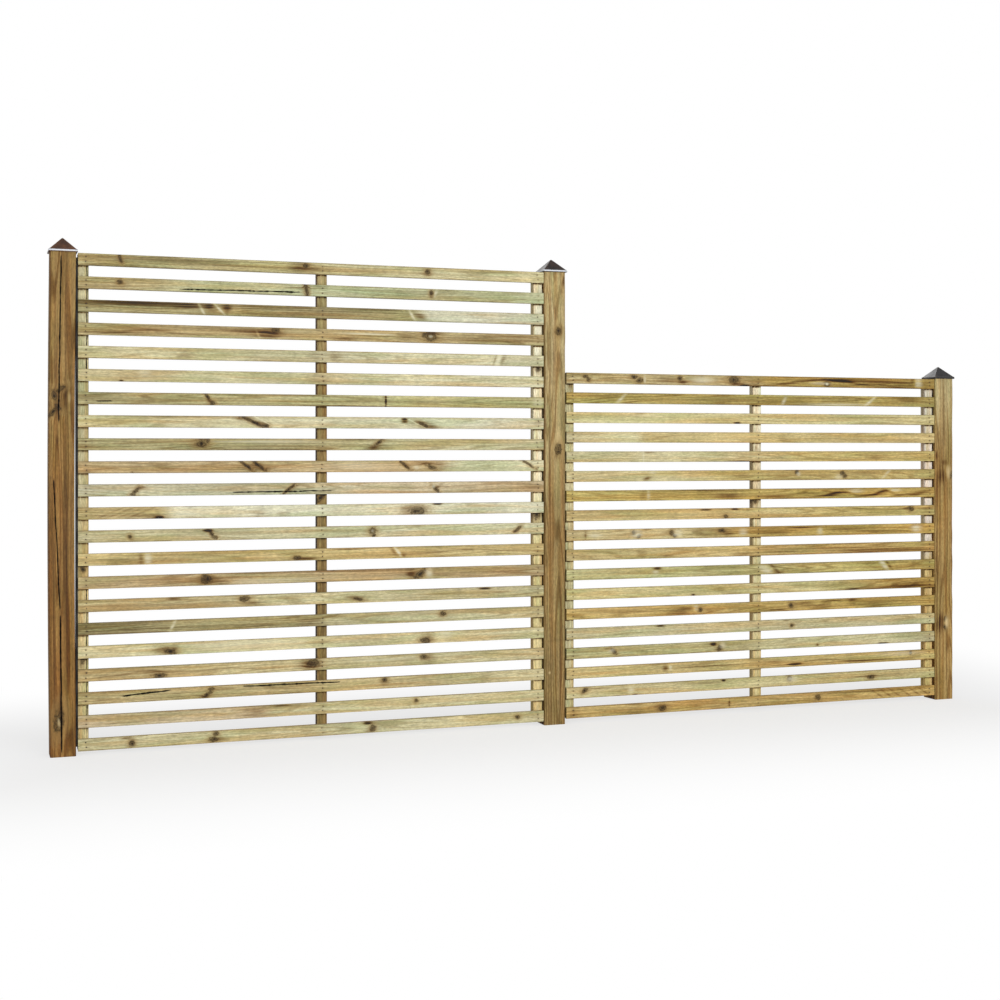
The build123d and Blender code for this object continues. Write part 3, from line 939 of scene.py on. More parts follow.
@dataclass(frozen=True)
class ShadeStripFinish:
    """Rough strip coloured near black as painted shade, with grain that runs up it."""

    name: str
    dark: Colour = (0.010, 0.012, 0.012, 1.0)
    light: Colour = (0.045, 0.042, 0.036, 1.0)

    def material(self) -> bpy.types.Material:
        """Builds the material from Object coordinates.

        Returns:
            The node material.
        """
        sheet = MaterialSheet(self.name)
        streaks = sheet.noise(sheet.stretched(sheet.place(), (420.0, 420.0, 9.0)), 3.0, 0.6)
        sheet.bump(streaks, 0.0004)
        sheet.finish(
            sheet.mixed(sheet.ranged(streaks, 0.35, 0.7, 0.0, 1.0), self.dark, self.light),
            sheet.ranged(streaks, 0.3, 0.7, 0.9, 0.75),
        )
        return sheet.material


@dataclass(frozen=True)
class SteelFinish:
    """Zinc-plated steel, dulled and spotted by the weather."""

    name: str
    bright: Colour
    dull: Colour
    metallic: float

    def material(self) -> bpy.types.Material:
        """Builds the material from Object coordinates.

        Returns:
            The node material.
        """
        sheet = MaterialSheet(self.name)
        spots = sheet.noise(sheet.stretched(sheet.place(), (700.0, 700.0, 700.0)), 3.0, 0.6)
        sheet.bump(spots, 0.0001)
        sheet.finish(
            sheet.mixed(sheet.ranged(spots, 0.35, 0.65, 0.0, 1.0), self.bright, self.dull),
            sheet.ranged(spots, 0.3, 0.7, 0.35, 0.6),
            self.metallic,
        )
        return sheet.material


@dataclass(frozen=True)
class CapFinish:
    """Dark bronze paint, worn along the hips, with a painted highlight on the skirt, pale like the reflected
    sky, where the skirt attribute says so.
    """

    name: str
    paint: Colour
    shade: Colour
    worn: Colour = (0.20, 0.14, 0.10, 1.0)
    # painted highlight: the skirt's pale sky reflection
    skirt: Colour = (0.62, 0.65, 0.70, 1.0)

    def material(self) -> bpy.types.Material:
        """Builds the material from Object coordinates and the cap's own attributes.

        Returns:
            The node material.
        """
        sheet = MaterialSheet(self.name)
        place = sheet.place()
        clouds = sheet.noise(sheet.stretched(place, (30.0, 30.0, 30.0)), 4.0, 0.6)
        grit = sheet.noise(sheet.stretched(place, (900.0, 900.0, 900.0)), 2.0)
        colour = sheet.mixed(sheet.ranged(clouds, 0.35, 0.65, 0.0, 1.0), self.paint, self.shade)
        broken = sheet.ranged(clouds, 0.4, 0.6, 0.3, 1.0)
        wear = sheet.maths("MULTIPLY", sheet.attribute("edge", "Fac"), broken)
        colour = sheet.mixed(sheet.ranged(wear, 0.2, 1.0, 0.0, 0.6), colour, self.worn)
        # painted highlight on the skirt
        bright = sheet.attribute("skirt", "Fac")
        colour = sheet.mixed(bright, colour, self.skirt)
        sheet.bump(grit, 0.00005)
        sheet.finish(colour, sheet.ranged(clouds, 0.3, 0.7, 0.26, 0.40), shine=0.35)
        return sheet.material


@dataclass(frozen=True)
class TimberHabit:
    """How sawn timber strays from a plain bar. Lengths and steps are in metres."""

    fine_places: int = 4000  # places along a stick over which the density of its rings is summed
    knot_crowd: float = 3.0  # extra density at a knot
    mark_crowd: float = 2.5  # at most, at any other mark
    crowd_spread: float = 0.05  # density at a mark times its reach
    crowd_margin: float = 0.006  # reach beyond a mark's own length
    split_crowd: float = 1.2
    split_taper: float = 8.0  # a split opens, and closes, over one part in this many of its length
    split_depth: float = 2.4  # as a multiple of its width
    split_drift: float = 0.0006  # sideways wander of a split
    split_drift_step: float = 0.05
    jag_step: float = 0.007  # of a split's ragged width
    jag_limits: tuple[float, float] = (0.25, 2.2)
    full_shade_depth: float = 0.002  # a split this deep is painted fully black, as shade
    lip_shade: float = 0.42  # painted shade on a split's two lips
    face_wobble: float = 0.0003  # in and out wander of the front
    face_step: float = 0.12
    arris_wobble: float = 0.25  # wander of the eased edges, as a share of their radius
    arris_step: float = 0.06
    arris_limits: tuple[float, float] = (0.4, 2.0)
    edge_darkening: float = 0.28  # how much darker the eased edges are made
    bell_power: float = 2.4  # a stain is flatter in its middle than a plain bell
    wave_fade: float = 2.2  # an arching line fades out this many half lengths from its middle
    knot_reach: float = 4.0  # how far from a knot its halo is told apart, as a multiple of its oval
    knot_push: float = 0.9  # how far a knot pushes the grain aside, as a share of its height
    push_fades: tuple[float, float] = (0.3, 0.35)  # of the push, along and across
    slow_light: float = 0.05  # slow changes of brightness along a board
    slow_step: float = 0.25
    quick_light: float = 0.03  # quick changes of brightness
    quick_step: float = 0.04
    board_light: float = 0.05  # brightness from board to board
    line_strength: float = 1.75  # of the growth lines, in black timber
    line_loss: float = 1.9  # what white timber would lose of it
    line_limits: tuple[float, float] = (0.35, 1.3)
    grain_span: float = 40.0  # each board's grain starts at a random place within this


@dataclass
class Stick:
    """A length of planed timber: an eased section carried along a line, with its marks worked in."""

    name: str
    node: str
    slot: Slot
    board: Board
    start: tuple[float, float, float]  # where along, across and depth are all zero
    along_axis: tuple[float, float, float]
    across_axis: tuple[float, float, float]
    length: float
    width: float
    depth: float
    arris: float
    seed: int
    rings: int = 210
    front_columns: int = 8  # on each side of the split
    side_columns: int = 0
    back_columns: int = 3
    bow: float = 0.0  # sideways bend at the middle, along the across axis
    side_shade: tuple[float, float] = (0.0, 0.0)  # painted shade on the first and the last side
    side_shade_depth: float = 1.0  # the painted side shade reaches this far from the front
    side_shade_tops: tuple[float, float] = (9.0, 9.0)  # and this far along, on each side
    sharp_angle: float = 40.0
    habit: TimberHabit = TimberHabit()
    extra_marks: list[Mark] = field(default_factory=list)

    def places(self) -> np.ndarray:
        """Ring places along the stick, crowded where there are marks and splits.

        Each mark adds a bell of density round its middle. The rings are even steps of the summed density.

        Returns:
            Distances from the stick's start, rising from zero to its length.
        """
        habit = self.habit
        fine = np.linspace(0.0, self.length, habit.fine_places)
        density = np.ones_like(fine)
        for mark in (*self.board.marks, *self.extra_marks):
            reach = (mark.half_length + abs(mark.slant) * mark.half_height) * MM + habit.crowd_margin
            weight = min(habit.mark_crowd, habit.crowd_spread / reach)
            if mark.kind is MarkKind.KNOT:
                weight = habit.knot_crowd
            density += weight * np.exp(-(((fine - mark.along * MM) / reach) ** 2))
        for crack in self.board.splits:
            density += habit.split_crowd * ((fine > crack.start * MM) & (fine < crack.end * MM))
        total = np.concatenate([[0.0], np.cumsum((density[1:] + density[:-1]) / 2.0)])
        return np.interp(np.linspace(0.0, total[-1], self.rings), total, fine)

    def split_path(
        self, along: np.ndarray, rng: np.random.Generator
    ) -> tuple[np.ndarray, np.ndarray, np.ndarray]:
        """Where the split runs across the face, for each ring.

        The path is a line through the splits' ends with a slow wander. The depth swells from nothing at one
        end of a split and back to nothing at the other.

        Args:
            along: Ring places.
            rng: The stick's own random numbers.

        Returns:
            The split's distance across, its half width and its depth, one to a ring.
        """
        habit = self.habit
        rest_half = (self.width - 2.0 * self.arris) / (4.0 * self.front_columns)
        middle = np.full_like(along, self.width / 2.0)
        half = np.full_like(along, rest_half)
        sunk = np.zeros_like(along)
        cracks = self.board.splits
        if not cracks:
            return middle, half, sunk
        stops = [value * MM for crack in cracks for value in (crack.start, crack.end)]
        across = [value * MM for crack in cracks for value in (crack.start_across, crack.end_across)]
        middle = np.interp(along, stops, across)
        for crack in cracks:
            share = (along - crack.start * MM) / ((crack.end - crack.start) * MM)
            swell = smooth_step(share * habit.split_taper) * smooth_step((1.0 - share) * habit.split_taper)
            jag = np.clip(1.0 + crack.ragged * wander(rng, along, habit.jag_step), *habit.jag_limits)
            half = half * (1.0 - swell) + swell * crack.width * MM / 2.0 * jag
            sunk = sunk + swell * crack.width * MM * habit.split_depth * jag
            middle = middle + swell * habit.split_drift * wander(rng, along, habit.split_drift_step)
        return middle, half, sunk

    def section(
        self, along: np.ndarray, rng: np.random.Generator
    ) -> tuple[np.ndarray, np.ndarray, np.ndarray]:
        """The eased section at each ring, read round from the first front corner.

        The front runs straight to the split's groove and on to the other corner. The corners are short arcs
        whose radius wanders along the stick, and the sides and the back are straight.

        Args:
            along: Ring places.
            rng: The stick's own random numbers.

        Returns:
            Distance across, distance into the depth and painted shade in the split, each (rings, ring
            points).
        """
        habit = self.habit
        rings = len(along)
        middle, half, sunk = self.split_path(along, rng)
        wobble = habit.face_wobble * wander(rng, along, habit.face_step)[:, None]
        near = self.arris * (1.0 + habit.arris_wobble * wander(rng, along, habit.arris_step)[:, None])
        near = np.clip(near, habit.arris_limits[0] * self.arris, habit.arris_limits[1] * self.arris)
        steps = np.linspace(0.0, 1.0, self.front_columns, endpoint=False)
        left = near + (middle - half)[:, None] * steps - near * steps
        right = self.width - near + ((middle + half)[:, None] - self.width + near) * steps
        groove = np.stack([middle - half, middle, middle + half], -1)
        front = np.concatenate([left, groove, right[:, ::-1]], 1)
        front_depth = np.zeros_like(front) + wobble
        front_depth[:, self.front_columns + 1] += sunk
        crack = np.zeros_like(front)
        opened = np.clip(sunk / habit.full_shade_depth, 0.0, 1.0)
        groove_shade = np.array([habit.lip_shade, 1.0, habit.lip_shade])
        crack[:, self.front_columns : self.front_columns + 3] = opened[:, None] * groove_shade
        ease = 1.0 - math.sqrt(0.5)
        side_steps = np.linspace(0.0, 1.0, self.side_columns + 2)
        back_steps = np.linspace(0.0, 1.0, self.back_columns + 2)
        wide = np.full((rings, 1), self.width)
        none = np.zeros((rings, 1))
        deep = np.full((rings, 1), self.depth)
        side_depth = near + (self.depth - self.arris - near) * side_steps
        back = self.arris + (self.width - 2.0 * self.arris) * back_steps + none
        near_corner = near * ease
        far_corner = wide - near_corner
        eased = near_corner + wobble
        side = 0.0 * side_depth
        ring = np.concatenate([front, far_corner, wide + side, back[:, ::-1], none + side, near_corner], 1)
        depths = np.concatenate(
            [front_depth, eased, side_depth, deep + 0.0 * back, side_depth[:, ::-1], eased], 1
        )
        dark = np.zeros_like(ring)
        dark[:, : crack.shape[1]] = crack
        return ring, depths, dark

    def oval(self, mark: Mark, along: np.ndarray, across: np.ndarray) -> tuple[np.ndarray, np.ndarray]:
        """Distances from a mark's middle as multiples of its oval.

        Args:
            mark: The mark.
            along: Ring places.
            across: Distance across for every point.

        Returns:
            The distance along and the distance across, each (rings, ring points).
        """
        over = across - mark.across * MM
        ahead = along[:, None] - mark.along * MM - mark.slant * over
        return ahead / (mark.half_length * MM), over / (mark.half_height * MM)

    def spots(self, along: np.ndarray, across: np.ndarray, depths: np.ndarray) -> np.ndarray:
        """Darkness of the extra marks, stains round nails and painted shadow lines below slats: a bell over
        each oval, on the front face only.

        Args:
            along: Ring places.
            across: Distance across for every point.
            depths: Distance from the front for every point.

        Returns:
            The summed darkness, (rings, ring points).
        """
        dark = np.zeros_like(across)
        for mark in self.extra_marks:
            distance = np.hypot(*self.oval(mark, along, across))
            dark += mark.strength * np.exp(-(distance**self.habit.bell_power))
        return dark * self.on_front(depths)

    def on_front(self, depths: np.ndarray) -> np.ndarray:
        """Which points lie on the front or its eased edges."""
        return depths < 1.5 * self.arris

    def figure(
        self, along: np.ndarray, across: np.ndarray, path: np.ndarray
    ) -> tuple[np.ndarray, np.ndarray, np.ndarray]:
        """How the board's own marks show on the skin.

        A knot's reach is the distance from its middle as a multiple of its oval, and it pushes the grain
        away from its middle. A stain is a bell over its oval.

        Args:
            along: Ring places.
            across: Distance across for every point.
            path: Distance round the section for every point.

        Returns:
            The knot reach from 0 to 1, the stain sum and the pushed path, each (rings, ring points).
        """
        habit = self.habit
        reach = np.full_like(across, habit.knot_reach)
        dark = np.zeros_like(across)
        pushed = path.copy()
        facing = np.sign(np.gradient(across, axis=1))
        for mark in self.board.marks:
            ahead, over = self.oval(mark, along, across)
            distance = np.hypot(ahead, over)
            if mark.kind is MarkKind.WAVE:
                dark += self.arch(mark, along, across)
            elif mark.kind is MarkKind.KNOT:
                reach = np.minimum(reach, distance)
                along_fade, across_fade = habit.push_fades
                bend = np.exp(-along_fade * ahead**2) * over * np.exp(-across_fade * over**2)
                pushed -= facing * bend * mark.half_height * MM * habit.knot_push
            else:
                dark += mark.strength * np.exp(-(distance**habit.bell_power))
        return reach / habit.knot_reach, dark, pushed

    def arch(self, mark: Mark, along: np.ndarray, across: np.ndarray) -> np.ndarray:
        """Darkness of one arching grain line: a bell across the line, faded out towards its two ends.

        Args:
            mark: The wave.
            along: Ring places.
            across: Distance across for every point.

        Returns:
            The darkness, (rings, ring points).
        """
        ahead = (along[:, None] - mark.along * MM) / (mark.half_length * MM)
        off = across - mark.across * MM + mark.slant * MM * np.exp(-(ahead**2))
        ends = (ahead / self.habit.wave_fade) ** 4
        return mark.strength * np.exp(-((off / (mark.half_height * MM)) ** 2) - ends)

    def tone(self, along: np.ndarray, across: np.ndarray, rng: np.random.Generator) -> np.ndarray:
        """The tint: the board's first tone turning into its last, brighter and duller by place.

        The fourth value is the strength of the growth lines, which is greater in dark boards.

        Args:
            along: Ring places.
            across: Distance across for every point.
            rng: The stick's own random numbers.

        Returns:
            Colour and line strength, (rings, ring points, 4).
        """
        habit = self.habit
        share = smooth_step((along / self.length - self.board.turn) / self.board.soften + 0.5)[:, None, None]
        tint = np.array(self.board.first.value) * (1.0 - share) + np.array(self.board.last.value) * share
        slow = habit.slow_light * wander(rng, along, habit.slow_step)
        quick = habit.quick_light * wander(rng, along, habit.quick_step)
        light = 1.0 + slow + quick
        tint = tint * light[:, None, None] * (1.0 + habit.board_light * rng.normal())
        solid = np.ones((len(along), across.shape[1], 4))
        solid[..., :3] = tint
        solid[..., 3] = np.clip(habit.line_strength - habit.line_loss * tint.mean(-1), *habit.line_limits)
        return solid

    def painted_shade(self, along: np.ndarray, across: np.ndarray, depths: np.ndarray) -> np.ndarray:
        """Painted shade on the sides, where a neighbouring part keeps the light off.

        Args:
            along: Ring places.
            across: Distance across for every point.
            depths: Distance from the front for every point.

        Returns:
            The darkness, (rings, ring points).
        """
        hair = 0.1 * MM
        inside = ~self.on_front(depths) & (depths < self.side_shade_depth)
        first = (across < hair) & inside & (along < self.side_shade_tops[0])[:, None]
        last = (across > self.width - hair) & inside & (along < self.side_shade_tops[1])[:, None]
        return self.side_shade[0] * first + self.side_shade[1] * last

    def build(self, finish: bpy.types.Material) -> None:
        """Makes the skin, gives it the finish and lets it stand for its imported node.

        Args:
            finish: The timber material.
        """
        rng = np.random.default_rng(self.seed)
        along = self.places()
        across, depths, crack = self.section(along, rng)
        level = depths.copy()
        level[:, self.front_columns + 1] = depths[:, self.front_columns]
        step = np.hypot(np.diff(across, axis=1), np.diff(level, axis=1))
        path = np.concatenate([np.zeros((len(along), 1)), np.cumsum(step, 1)], 1) + across[:, :1]
        reach, dark, pushed = self.figure(along, across, path)
        # painted shade on the sides next to neighbours, and the darker eased edges, go into the stain
        # attribute
        edge = np.minimum(across, self.width - across) < 1.01 * self.arris
        dark = dark + self.habit.edge_darkening * edge + self.painted_shade(along, across, depths)
        dark = dark + self.spots(along, across, depths)
        bend = self.bow * np.sin(math.pi * along / self.length)
        points = (
            np.array(self.start)
            + along[:, None, None] * np.array(self.along_axis)
            + (across + bend[:, None])[..., None] * np.array(self.across_axis)
            + depths[..., None] * np.array((0.0, 1.0, 0.0))
        )
        shift = rng.uniform(0.0, self.habit.grain_span, size=2)
        last = pushed[:, -1:] + self.arris
        around = np.concatenate([pushed, last], 1)
        grain = np.stack([np.broadcast_to(along[:, None], around.shape) + shift[0], around + shift[1]], -1)
        fields = {"knot": reach, "stain": dark, "crack": crack, "tint": self.tone(along, across, rng)}
        made = loft_object(self.name, points, grain, fields, self.sharp_angle)
        made.data.materials.append(finish)
        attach(made, BODY)
        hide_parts(self.node)


@dataclass
class NailHeads:
    """Small domed nail heads: one turned profile repeated at every place, in one object."""

    name: str
    places: np.ndarray  # middles of the heads on the slats' faces
    radius: float = 0.0023
    rise: float = 0.0005
    sides: int = 9

    def build(self, finish: bpy.types.Material) -> None:
        """Turns the profile round an axis that looks to the front, and copies it to all the places.

        Args:
            finish: The steel material.
        """
        radii = self.radius * np.array([1.0, 0.85, 0.45])
        heights = self.rise * np.array([-0.6, 0.75, 1.0])
        turn = np.linspace(0.0, 2.0 * math.pi, self.sides, endpoint=False)
        ring = np.stack([np.cos(turn), np.zeros_like(turn), np.sin(turn)], -1)
        head = radii[:, None, None] * ring + heights[:, None, None] * np.array((0.0, -1.0, 0.0))
        flat = head.reshape(-1, 3)
        points = (self.places[:, None, :] + flat).reshape(-1, 3)
        wall = ring_quads(len(head), self.sides)[2].reshape(-1, 4)
        starts = np.arange(len(self.places)) * len(flat)
        faces = (starts[:, None, None] + wall).reshape(-1, 4).tolist()
        crown = starts[:, None] + (len(head) - 1) * self.sides + np.arange(self.sides)
        foot = starts[:, None] + np.arange(self.sides)[::-1]
        mesh = bpy.data.meshes.new(self.name)
        mesh.from_pydata(points, [], faces + crown.tolist() + foot.tolist())
        mesh.shade_smooth()
        made = linked(self.name, mesh)
        made.data.materials.append(finish)
        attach(made, BODY)


@dataclass
class SlattedPanel:
    """One panel: its slats, its three battens, their nails and its packing strip."""

    name: str
    boards: tuple[Board, ...]
    seed: int
    slat_arris: float = 0.0017
    batten_arris: float = 0.0022
    nail_offset: float = 0.0085  # each nail from the slat's middle
    nail_drift: float = 0.0015
    nail_shifts: tuple[float, float, float] = (0.009, -0.002, -0.006)  # from the battens' middles
    batten_side_shade: tuple[tuple[float, float], ...] = ((0.2, 0.2), (0.9, 0.3), (0.2, 0.2))  # painted shade on both sides of each batten
    batten_seed: int = 50  # added to the panel's seed
    nail_seed: int = 90  # added to the panel's seed

    def slat_node(self, index: int) -> str:
        """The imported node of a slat, counted from the top."""
        return f"{self.name}_slat_{index + 1:02d}"

    def batten_node(self, side: Side) -> str:
        """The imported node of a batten."""
        return f"{self.name}_{side.value}_batten"

    def nail_stain(self, along: float, across: float) -> Mark:
        """The dark ring round a nail, at a place on its slat."""
        return stain(along, across, 4.6, 4.2, 0.4)

    def shade_line(self, slat_foot: float) -> Mark:
        """The painted shadow across a batten, just under a slat's lower edge."""
        return stain(slat_foot - 1.5, 19.0, 3.5, 60.0, 1.15)

    def nail_rows(self, rng: np.random.Generator) -> np.ndarray:
        """Places of the nails: two to each slat on each batten, a little out of line.

        Args:
            rng: The panel's own random numbers.

        Returns:
            Places as (slats, battens, two, 3).
        """
        batten_middles = []
        for side in Side:
            low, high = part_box(self.batten_node(side))
            batten_middles.append((low.x + high.x) / 2.0)
        columns = np.array(batten_middles) + np.array(self.nail_shifts)
        places = np.zeros((len(self.boards), len(columns), 2, 3))
        for index in range(len(self.boards)):
            low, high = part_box(self.slat_node(index))
            middle = (low.z + high.z) / 2.0
            places[index, :, :, 1] = low.y
            places[index, :, :, 2] = middle + np.array([self.nail_offset, -self.nail_offset])
        places[..., 0] = columns[:, None]
        places[..., 0] += rng.normal(0.0, self.nail_drift, places.shape[:3])
        places[..., 2] += rng.normal(0.0, 0.6 * self.nail_drift, places.shape[:3])
        return places

    def slats(self, finish: bpy.types.Material, nails: np.ndarray) -> None:
        """Builds the slats from the top down, each stained round its nails.

        Args:
            finish: The timber material.
            nails: The nails' places, from nail_rows.
        """
        for index, board in enumerate(self.boards):
            node = self.slat_node(index)
            low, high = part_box(node)
            spots = [
                self.nail_stain((nail[0] - low.x) / MM, (high.z - nail[2]) / MM)
                for nail in nails[index].reshape(-1, 3)
            ]
            Stick(
                name=f"{self.name}_board_{index + 1:02d}",
                node=node,
                slot=Slot.SLAT,
                board=board,
                start=(low.x, low.y, high.z),
                along_axis=(1.0, 0.0, 0.0),
                across_axis=(0.0, 0.0, -1.0),
                length=high.x - low.x,
                width=high.z - low.z,
                depth=high.y - low.y,
                arris=self.slat_arris,
                seed=self.seed + index,
                extra_marks=spots,
            ).build(finish)

    def battens(self, finish: bpy.types.Material) -> None:
        """Builds the battens, each with a painted shadow line below every slat that crosses it.

        Args:
            finish: The timber material.
        """
        slat_feet = [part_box(self.slat_node(index))[0].z for index in range(len(self.boards))]
        for order, side in enumerate(Side):
            node = self.batten_node(side)
            low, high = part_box(node)
            painted_shade = [self.shade_line((foot - low.z) / MM) for foot in slat_feet]
            Stick(
                name=f"{self.name}_{side.value}_upright",
                node=node,
                slot=Slot.BATTEN,
                board=BATTEN_BOARDS[self.name, side],
                start=(low.x, low.y, low.z),
                along_axis=(0.0, 0.0, 1.0),
                across_axis=(1.0, 0.0, 0.0),
                length=high.z - low.z,
                width=high.x - low.x,
                depth=high.y - low.y,
                arris=self.batten_arris,
                seed=self.seed + self.batten_seed + order,
                rings=300,
                side_columns=2,
                side_shade=self.batten_side_shade[order],
                extra_marks=painted_shade,
            ).build(finish)

    def build(
        self, slat_finish: bpy.types.Material, batten_finish: bpy.types.Material,
        nail_finish: bpy.types.Material, packer_shade_finish: bpy.types.Material,
    ) -> None:
        """Builds and dresses the whole panel.

        Args:
            slat_finish: Timber for the slats.
            batten_finish: Timber for the battens.
            nail_finish: Steel for the nail heads.
            packer_shade_finish: Timber for the packing strip, near black as painted shade in the gap beside
                the post.
        """
        rng = np.random.default_rng(self.seed + self.nail_seed)
        nails = self.nail_rows(rng)
        self.slats(slat_finish, nails)
        self.battens(batten_finish)
        NailHeads(f"{self.name}_nails", nails.reshape(-1, 3)).build(nail_finish)
        dress_node(f"{self.name}_packer", packer_shade_finish)


@dataclass
class CappedPost:
    """One post with its pyramid cap."""

    side: Side
    seed: int
    bow: float = 0.0
    # share of the painted highlight on the skirt
    skirt_highlight: float = 0.0
    panel_tops: tuple[float, float] = (0.0, 0.0)  # heights of the panels on its first and last side
    panel_depth: float = 0.056
    post_arris: float = 0.0045
    skirt_height: float = 0.008
    skirt_lip: float = 0.002  # the pyramid starts this far inside the skirt
    socket_depth: float = 0.006
    socket_inset: float = 0.0057  # from the skirt's outside to the socket's side
    ledge_half: float = 0.040
    wall: float = 0.003
    drip: float = 0.001
    inside_round: float = 0.001  # corner radii inside the cap, of its skirt and of its hips
    skirt_round: float = 0.002
    hip_round: float = 0.0016
    corner_points: int = 4
    edge_points: int = 5
    sharp_angle: float = 30.0

    def post(self, finish: bpy.types.Material) -> None:
        """Builds the post with its splits and its bow.

        Args:
            finish: The timber material.
        """
        node = f"{self.side.value}_post"
        low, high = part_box(node)
        Stick(
            name=f"{self.side.value}_upright",
            node=node,
            slot=Slot.POST,
            board=POST_BOARDS[self.side],
            start=(low.x, low.y, low.z),
            along_axis=(0.0, 0.0, 1.0),
            across_axis=(1.0, 0.0, 0.0),
            length=high.z - low.z,
            width=high.x - low.x,
            depth=high.y - low.y,
            arris=self.post_arris,
            seed=self.seed,
            rings=260,
            front_columns=11,
            side_columns=5,
            back_columns=6,
            bow=self.bow,
            # painted shade on the post's sides beside the panels, in the narrow gap
            side_shade=(0.9, 0.9),
            side_shade_depth=self.panel_depth,
            side_shade_tops=self.panel_tops,
        ).build(finish)

    def square_ring(self) -> tuple[np.ndarray, np.ndarray]:
        """A unit square read round counter-clockwise, as flat-edge places and corner directions.

        Returns:
            For every point its place on a square of half width one, and the way a round corner pulls it in.
        """
        turn = np.linspace(0.0, math.pi / 2.0, self.corner_points)
        arc = np.stack([np.cos(turn), np.sin(turn)], -1)
        flat = np.linspace(0.0, 1.0, self.edge_points + 2)[1:-1]
        places = []
        pulls = []
        for quarter in range(4):
            angle = quarter * math.pi / 2.0
            spin = np.array([[math.cos(angle), -math.sin(angle)], [math.sin(angle), math.cos(angle)]])
            corner = np.ones((self.corner_points, 2)) @ spin.T
            beyond = np.stack([1.0 - 2.0 * flat, np.ones_like(flat)], -1) @ spin.T
            places += [corner, beyond]
            pull = (arc - 1.0) @ spin.T
            bridge = np.stack([2.0 * flat - 1.0, np.zeros_like(flat)], -1) @ spin.T
            pulls += [pull, bridge]
        return np.concatenate(places), np.concatenate(pulls)

    def profile(self, width: float, height: float) -> np.ndarray:
        """The cap's section, from the inner tip down to the skirt and up to the outer tip.

        Args:
            width: The cap's width.
            height: The cap's height.

        Returns:
            Half width, height, corner radius, edge wear and the share of the painted skirt highlight, one
            row to a ring.
        """
        half = width / 2.0
        slope = (height - self.skirt_height) / (half - self.skirt_lip)
        drop = self.wall * math.hypot(1.0, slope)
        socket = half - self.socket_inset
        shoulder = self.skirt_height + slope * (half - self.ledge_half) - drop
        skirt = self.skirt_height
        inside = self.inside_round
        outside = self.skirt_round
        sweep = np.linspace(0.10, 0.96, 9)
        rise = skirt + (height - skirt) * sweep
        body = half - self.skirt_lip - (half - 2.0 * self.skirt_lip) * sweep
        inner = np.array([
            [0.001, height - drop, 0.0004, 0.0, 0.0],
            [self.ledge_half, shoulder, inside, 0.0, 0.0],
            [self.ledge_half, self.socket_depth, inside, 0.0, 0.0],
            [socket, self.socket_depth, inside, 0.0, 0.0],
            [socket, 0.0, inside, 0.0, 0.0],
            [half - self.drip, 0.0, outside, 0.0, 0.0],
            [half, self.drip, outside, 0.0, 0.0],
            [half, 0.26 * skirt, outside, 0.0, 0.1],
            [half, 0.34 * skirt, outside, 0.0, 1.0],
            [half, 0.88 * skirt, outside, 0.0, 1.0],
            [half - 0.0002, 0.94 * skirt, outside, 0.2, 0.6],
            [half - 0.0006, skirt, outside, 0.8, 0.0],
            [half - 0.0030, skirt + 0.0016, outside, 0.3, 0.0],
        ])
        outer = np.stack([body, rise, self.hip_round + 0.0 * body, 0.0 * body, 0.0 * body], -1)
        tip = np.array([[0.0016, height - 0.0004, 0.0008, 1.0, 0.0], [0.0006, height, 0.0003, 1.0, 0.0]])
        return np.concatenate([inner, outer, tip])

    def cap(self, finish: bpy.types.Material) -> None:
        """Builds the cap: square rings with rounded corners carried up the profile, inside and out.

        Args:
            finish: The cap's paint.
        """
        node = f"{self.side.value}_cap"
        low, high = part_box(node)
        middle = (low + high) / 2.0
        profile = self.profile(high.x - low.x, high.z - low.z)
        places, pulls = self.square_ring()
        half = profile[:, 0, None, None]
        radius = np.minimum(profile[:, 2], 0.5 * profile[:, 0])[:, None, None]
        flat = half * places + radius * pulls
        points = np.zeros((len(profile), len(places), 3))
        points[..., :2] = flat + np.array([middle.x, middle.y])
        points[..., 2] = low.z + profile[:, 1, None]
        corner = np.min(np.abs(places), axis=1) > 0.99
        hip = corner[None, :] * (profile[:, 1, None] > self.skirt_height)
        edge = np.maximum(profile[:, 3, None], 0.8 * hip)
        # painted highlight on the skirt, strongest on its upper part
        skirt = np.broadcast_to(self.skirt_highlight * profile[:, 4, None], edge.shape)
        around = np.linspace(0.0, 1.0, len(places) + 1)
        up = profile[:, 1, None] + 0.0 * around
        grain = np.stack([np.broadcast_to(around, up.shape), up], -1)
        fields = {"edge": edge, "skirt": skirt.copy()}
        made = loft_object(f"{self.side.value}_pyramid", points, grain, fields, self.sharp_angle)
        made.data.materials.append(finish)
        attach(made, BODY)
        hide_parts(node)

    def build(self, post_finish: bpy.types.Material, cap_finish: bpy.types.Material) -> None:
        """Builds the post and its cap.

        Args:
            post_finish: Timber for the post.
            cap_finish: Paint for the cap.
        """
        self.post(post_finish)
        self.cap(cap_finish)


def dress_node(node: str, finish: bpy.types.Material) -> None:
    """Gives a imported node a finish, and leaves its mesh as it is.

    Args:
        node: The node's name.
        finish: Its material.
    """
    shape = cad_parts[node]
    for place in shape.material_slots:
        place.material = finish


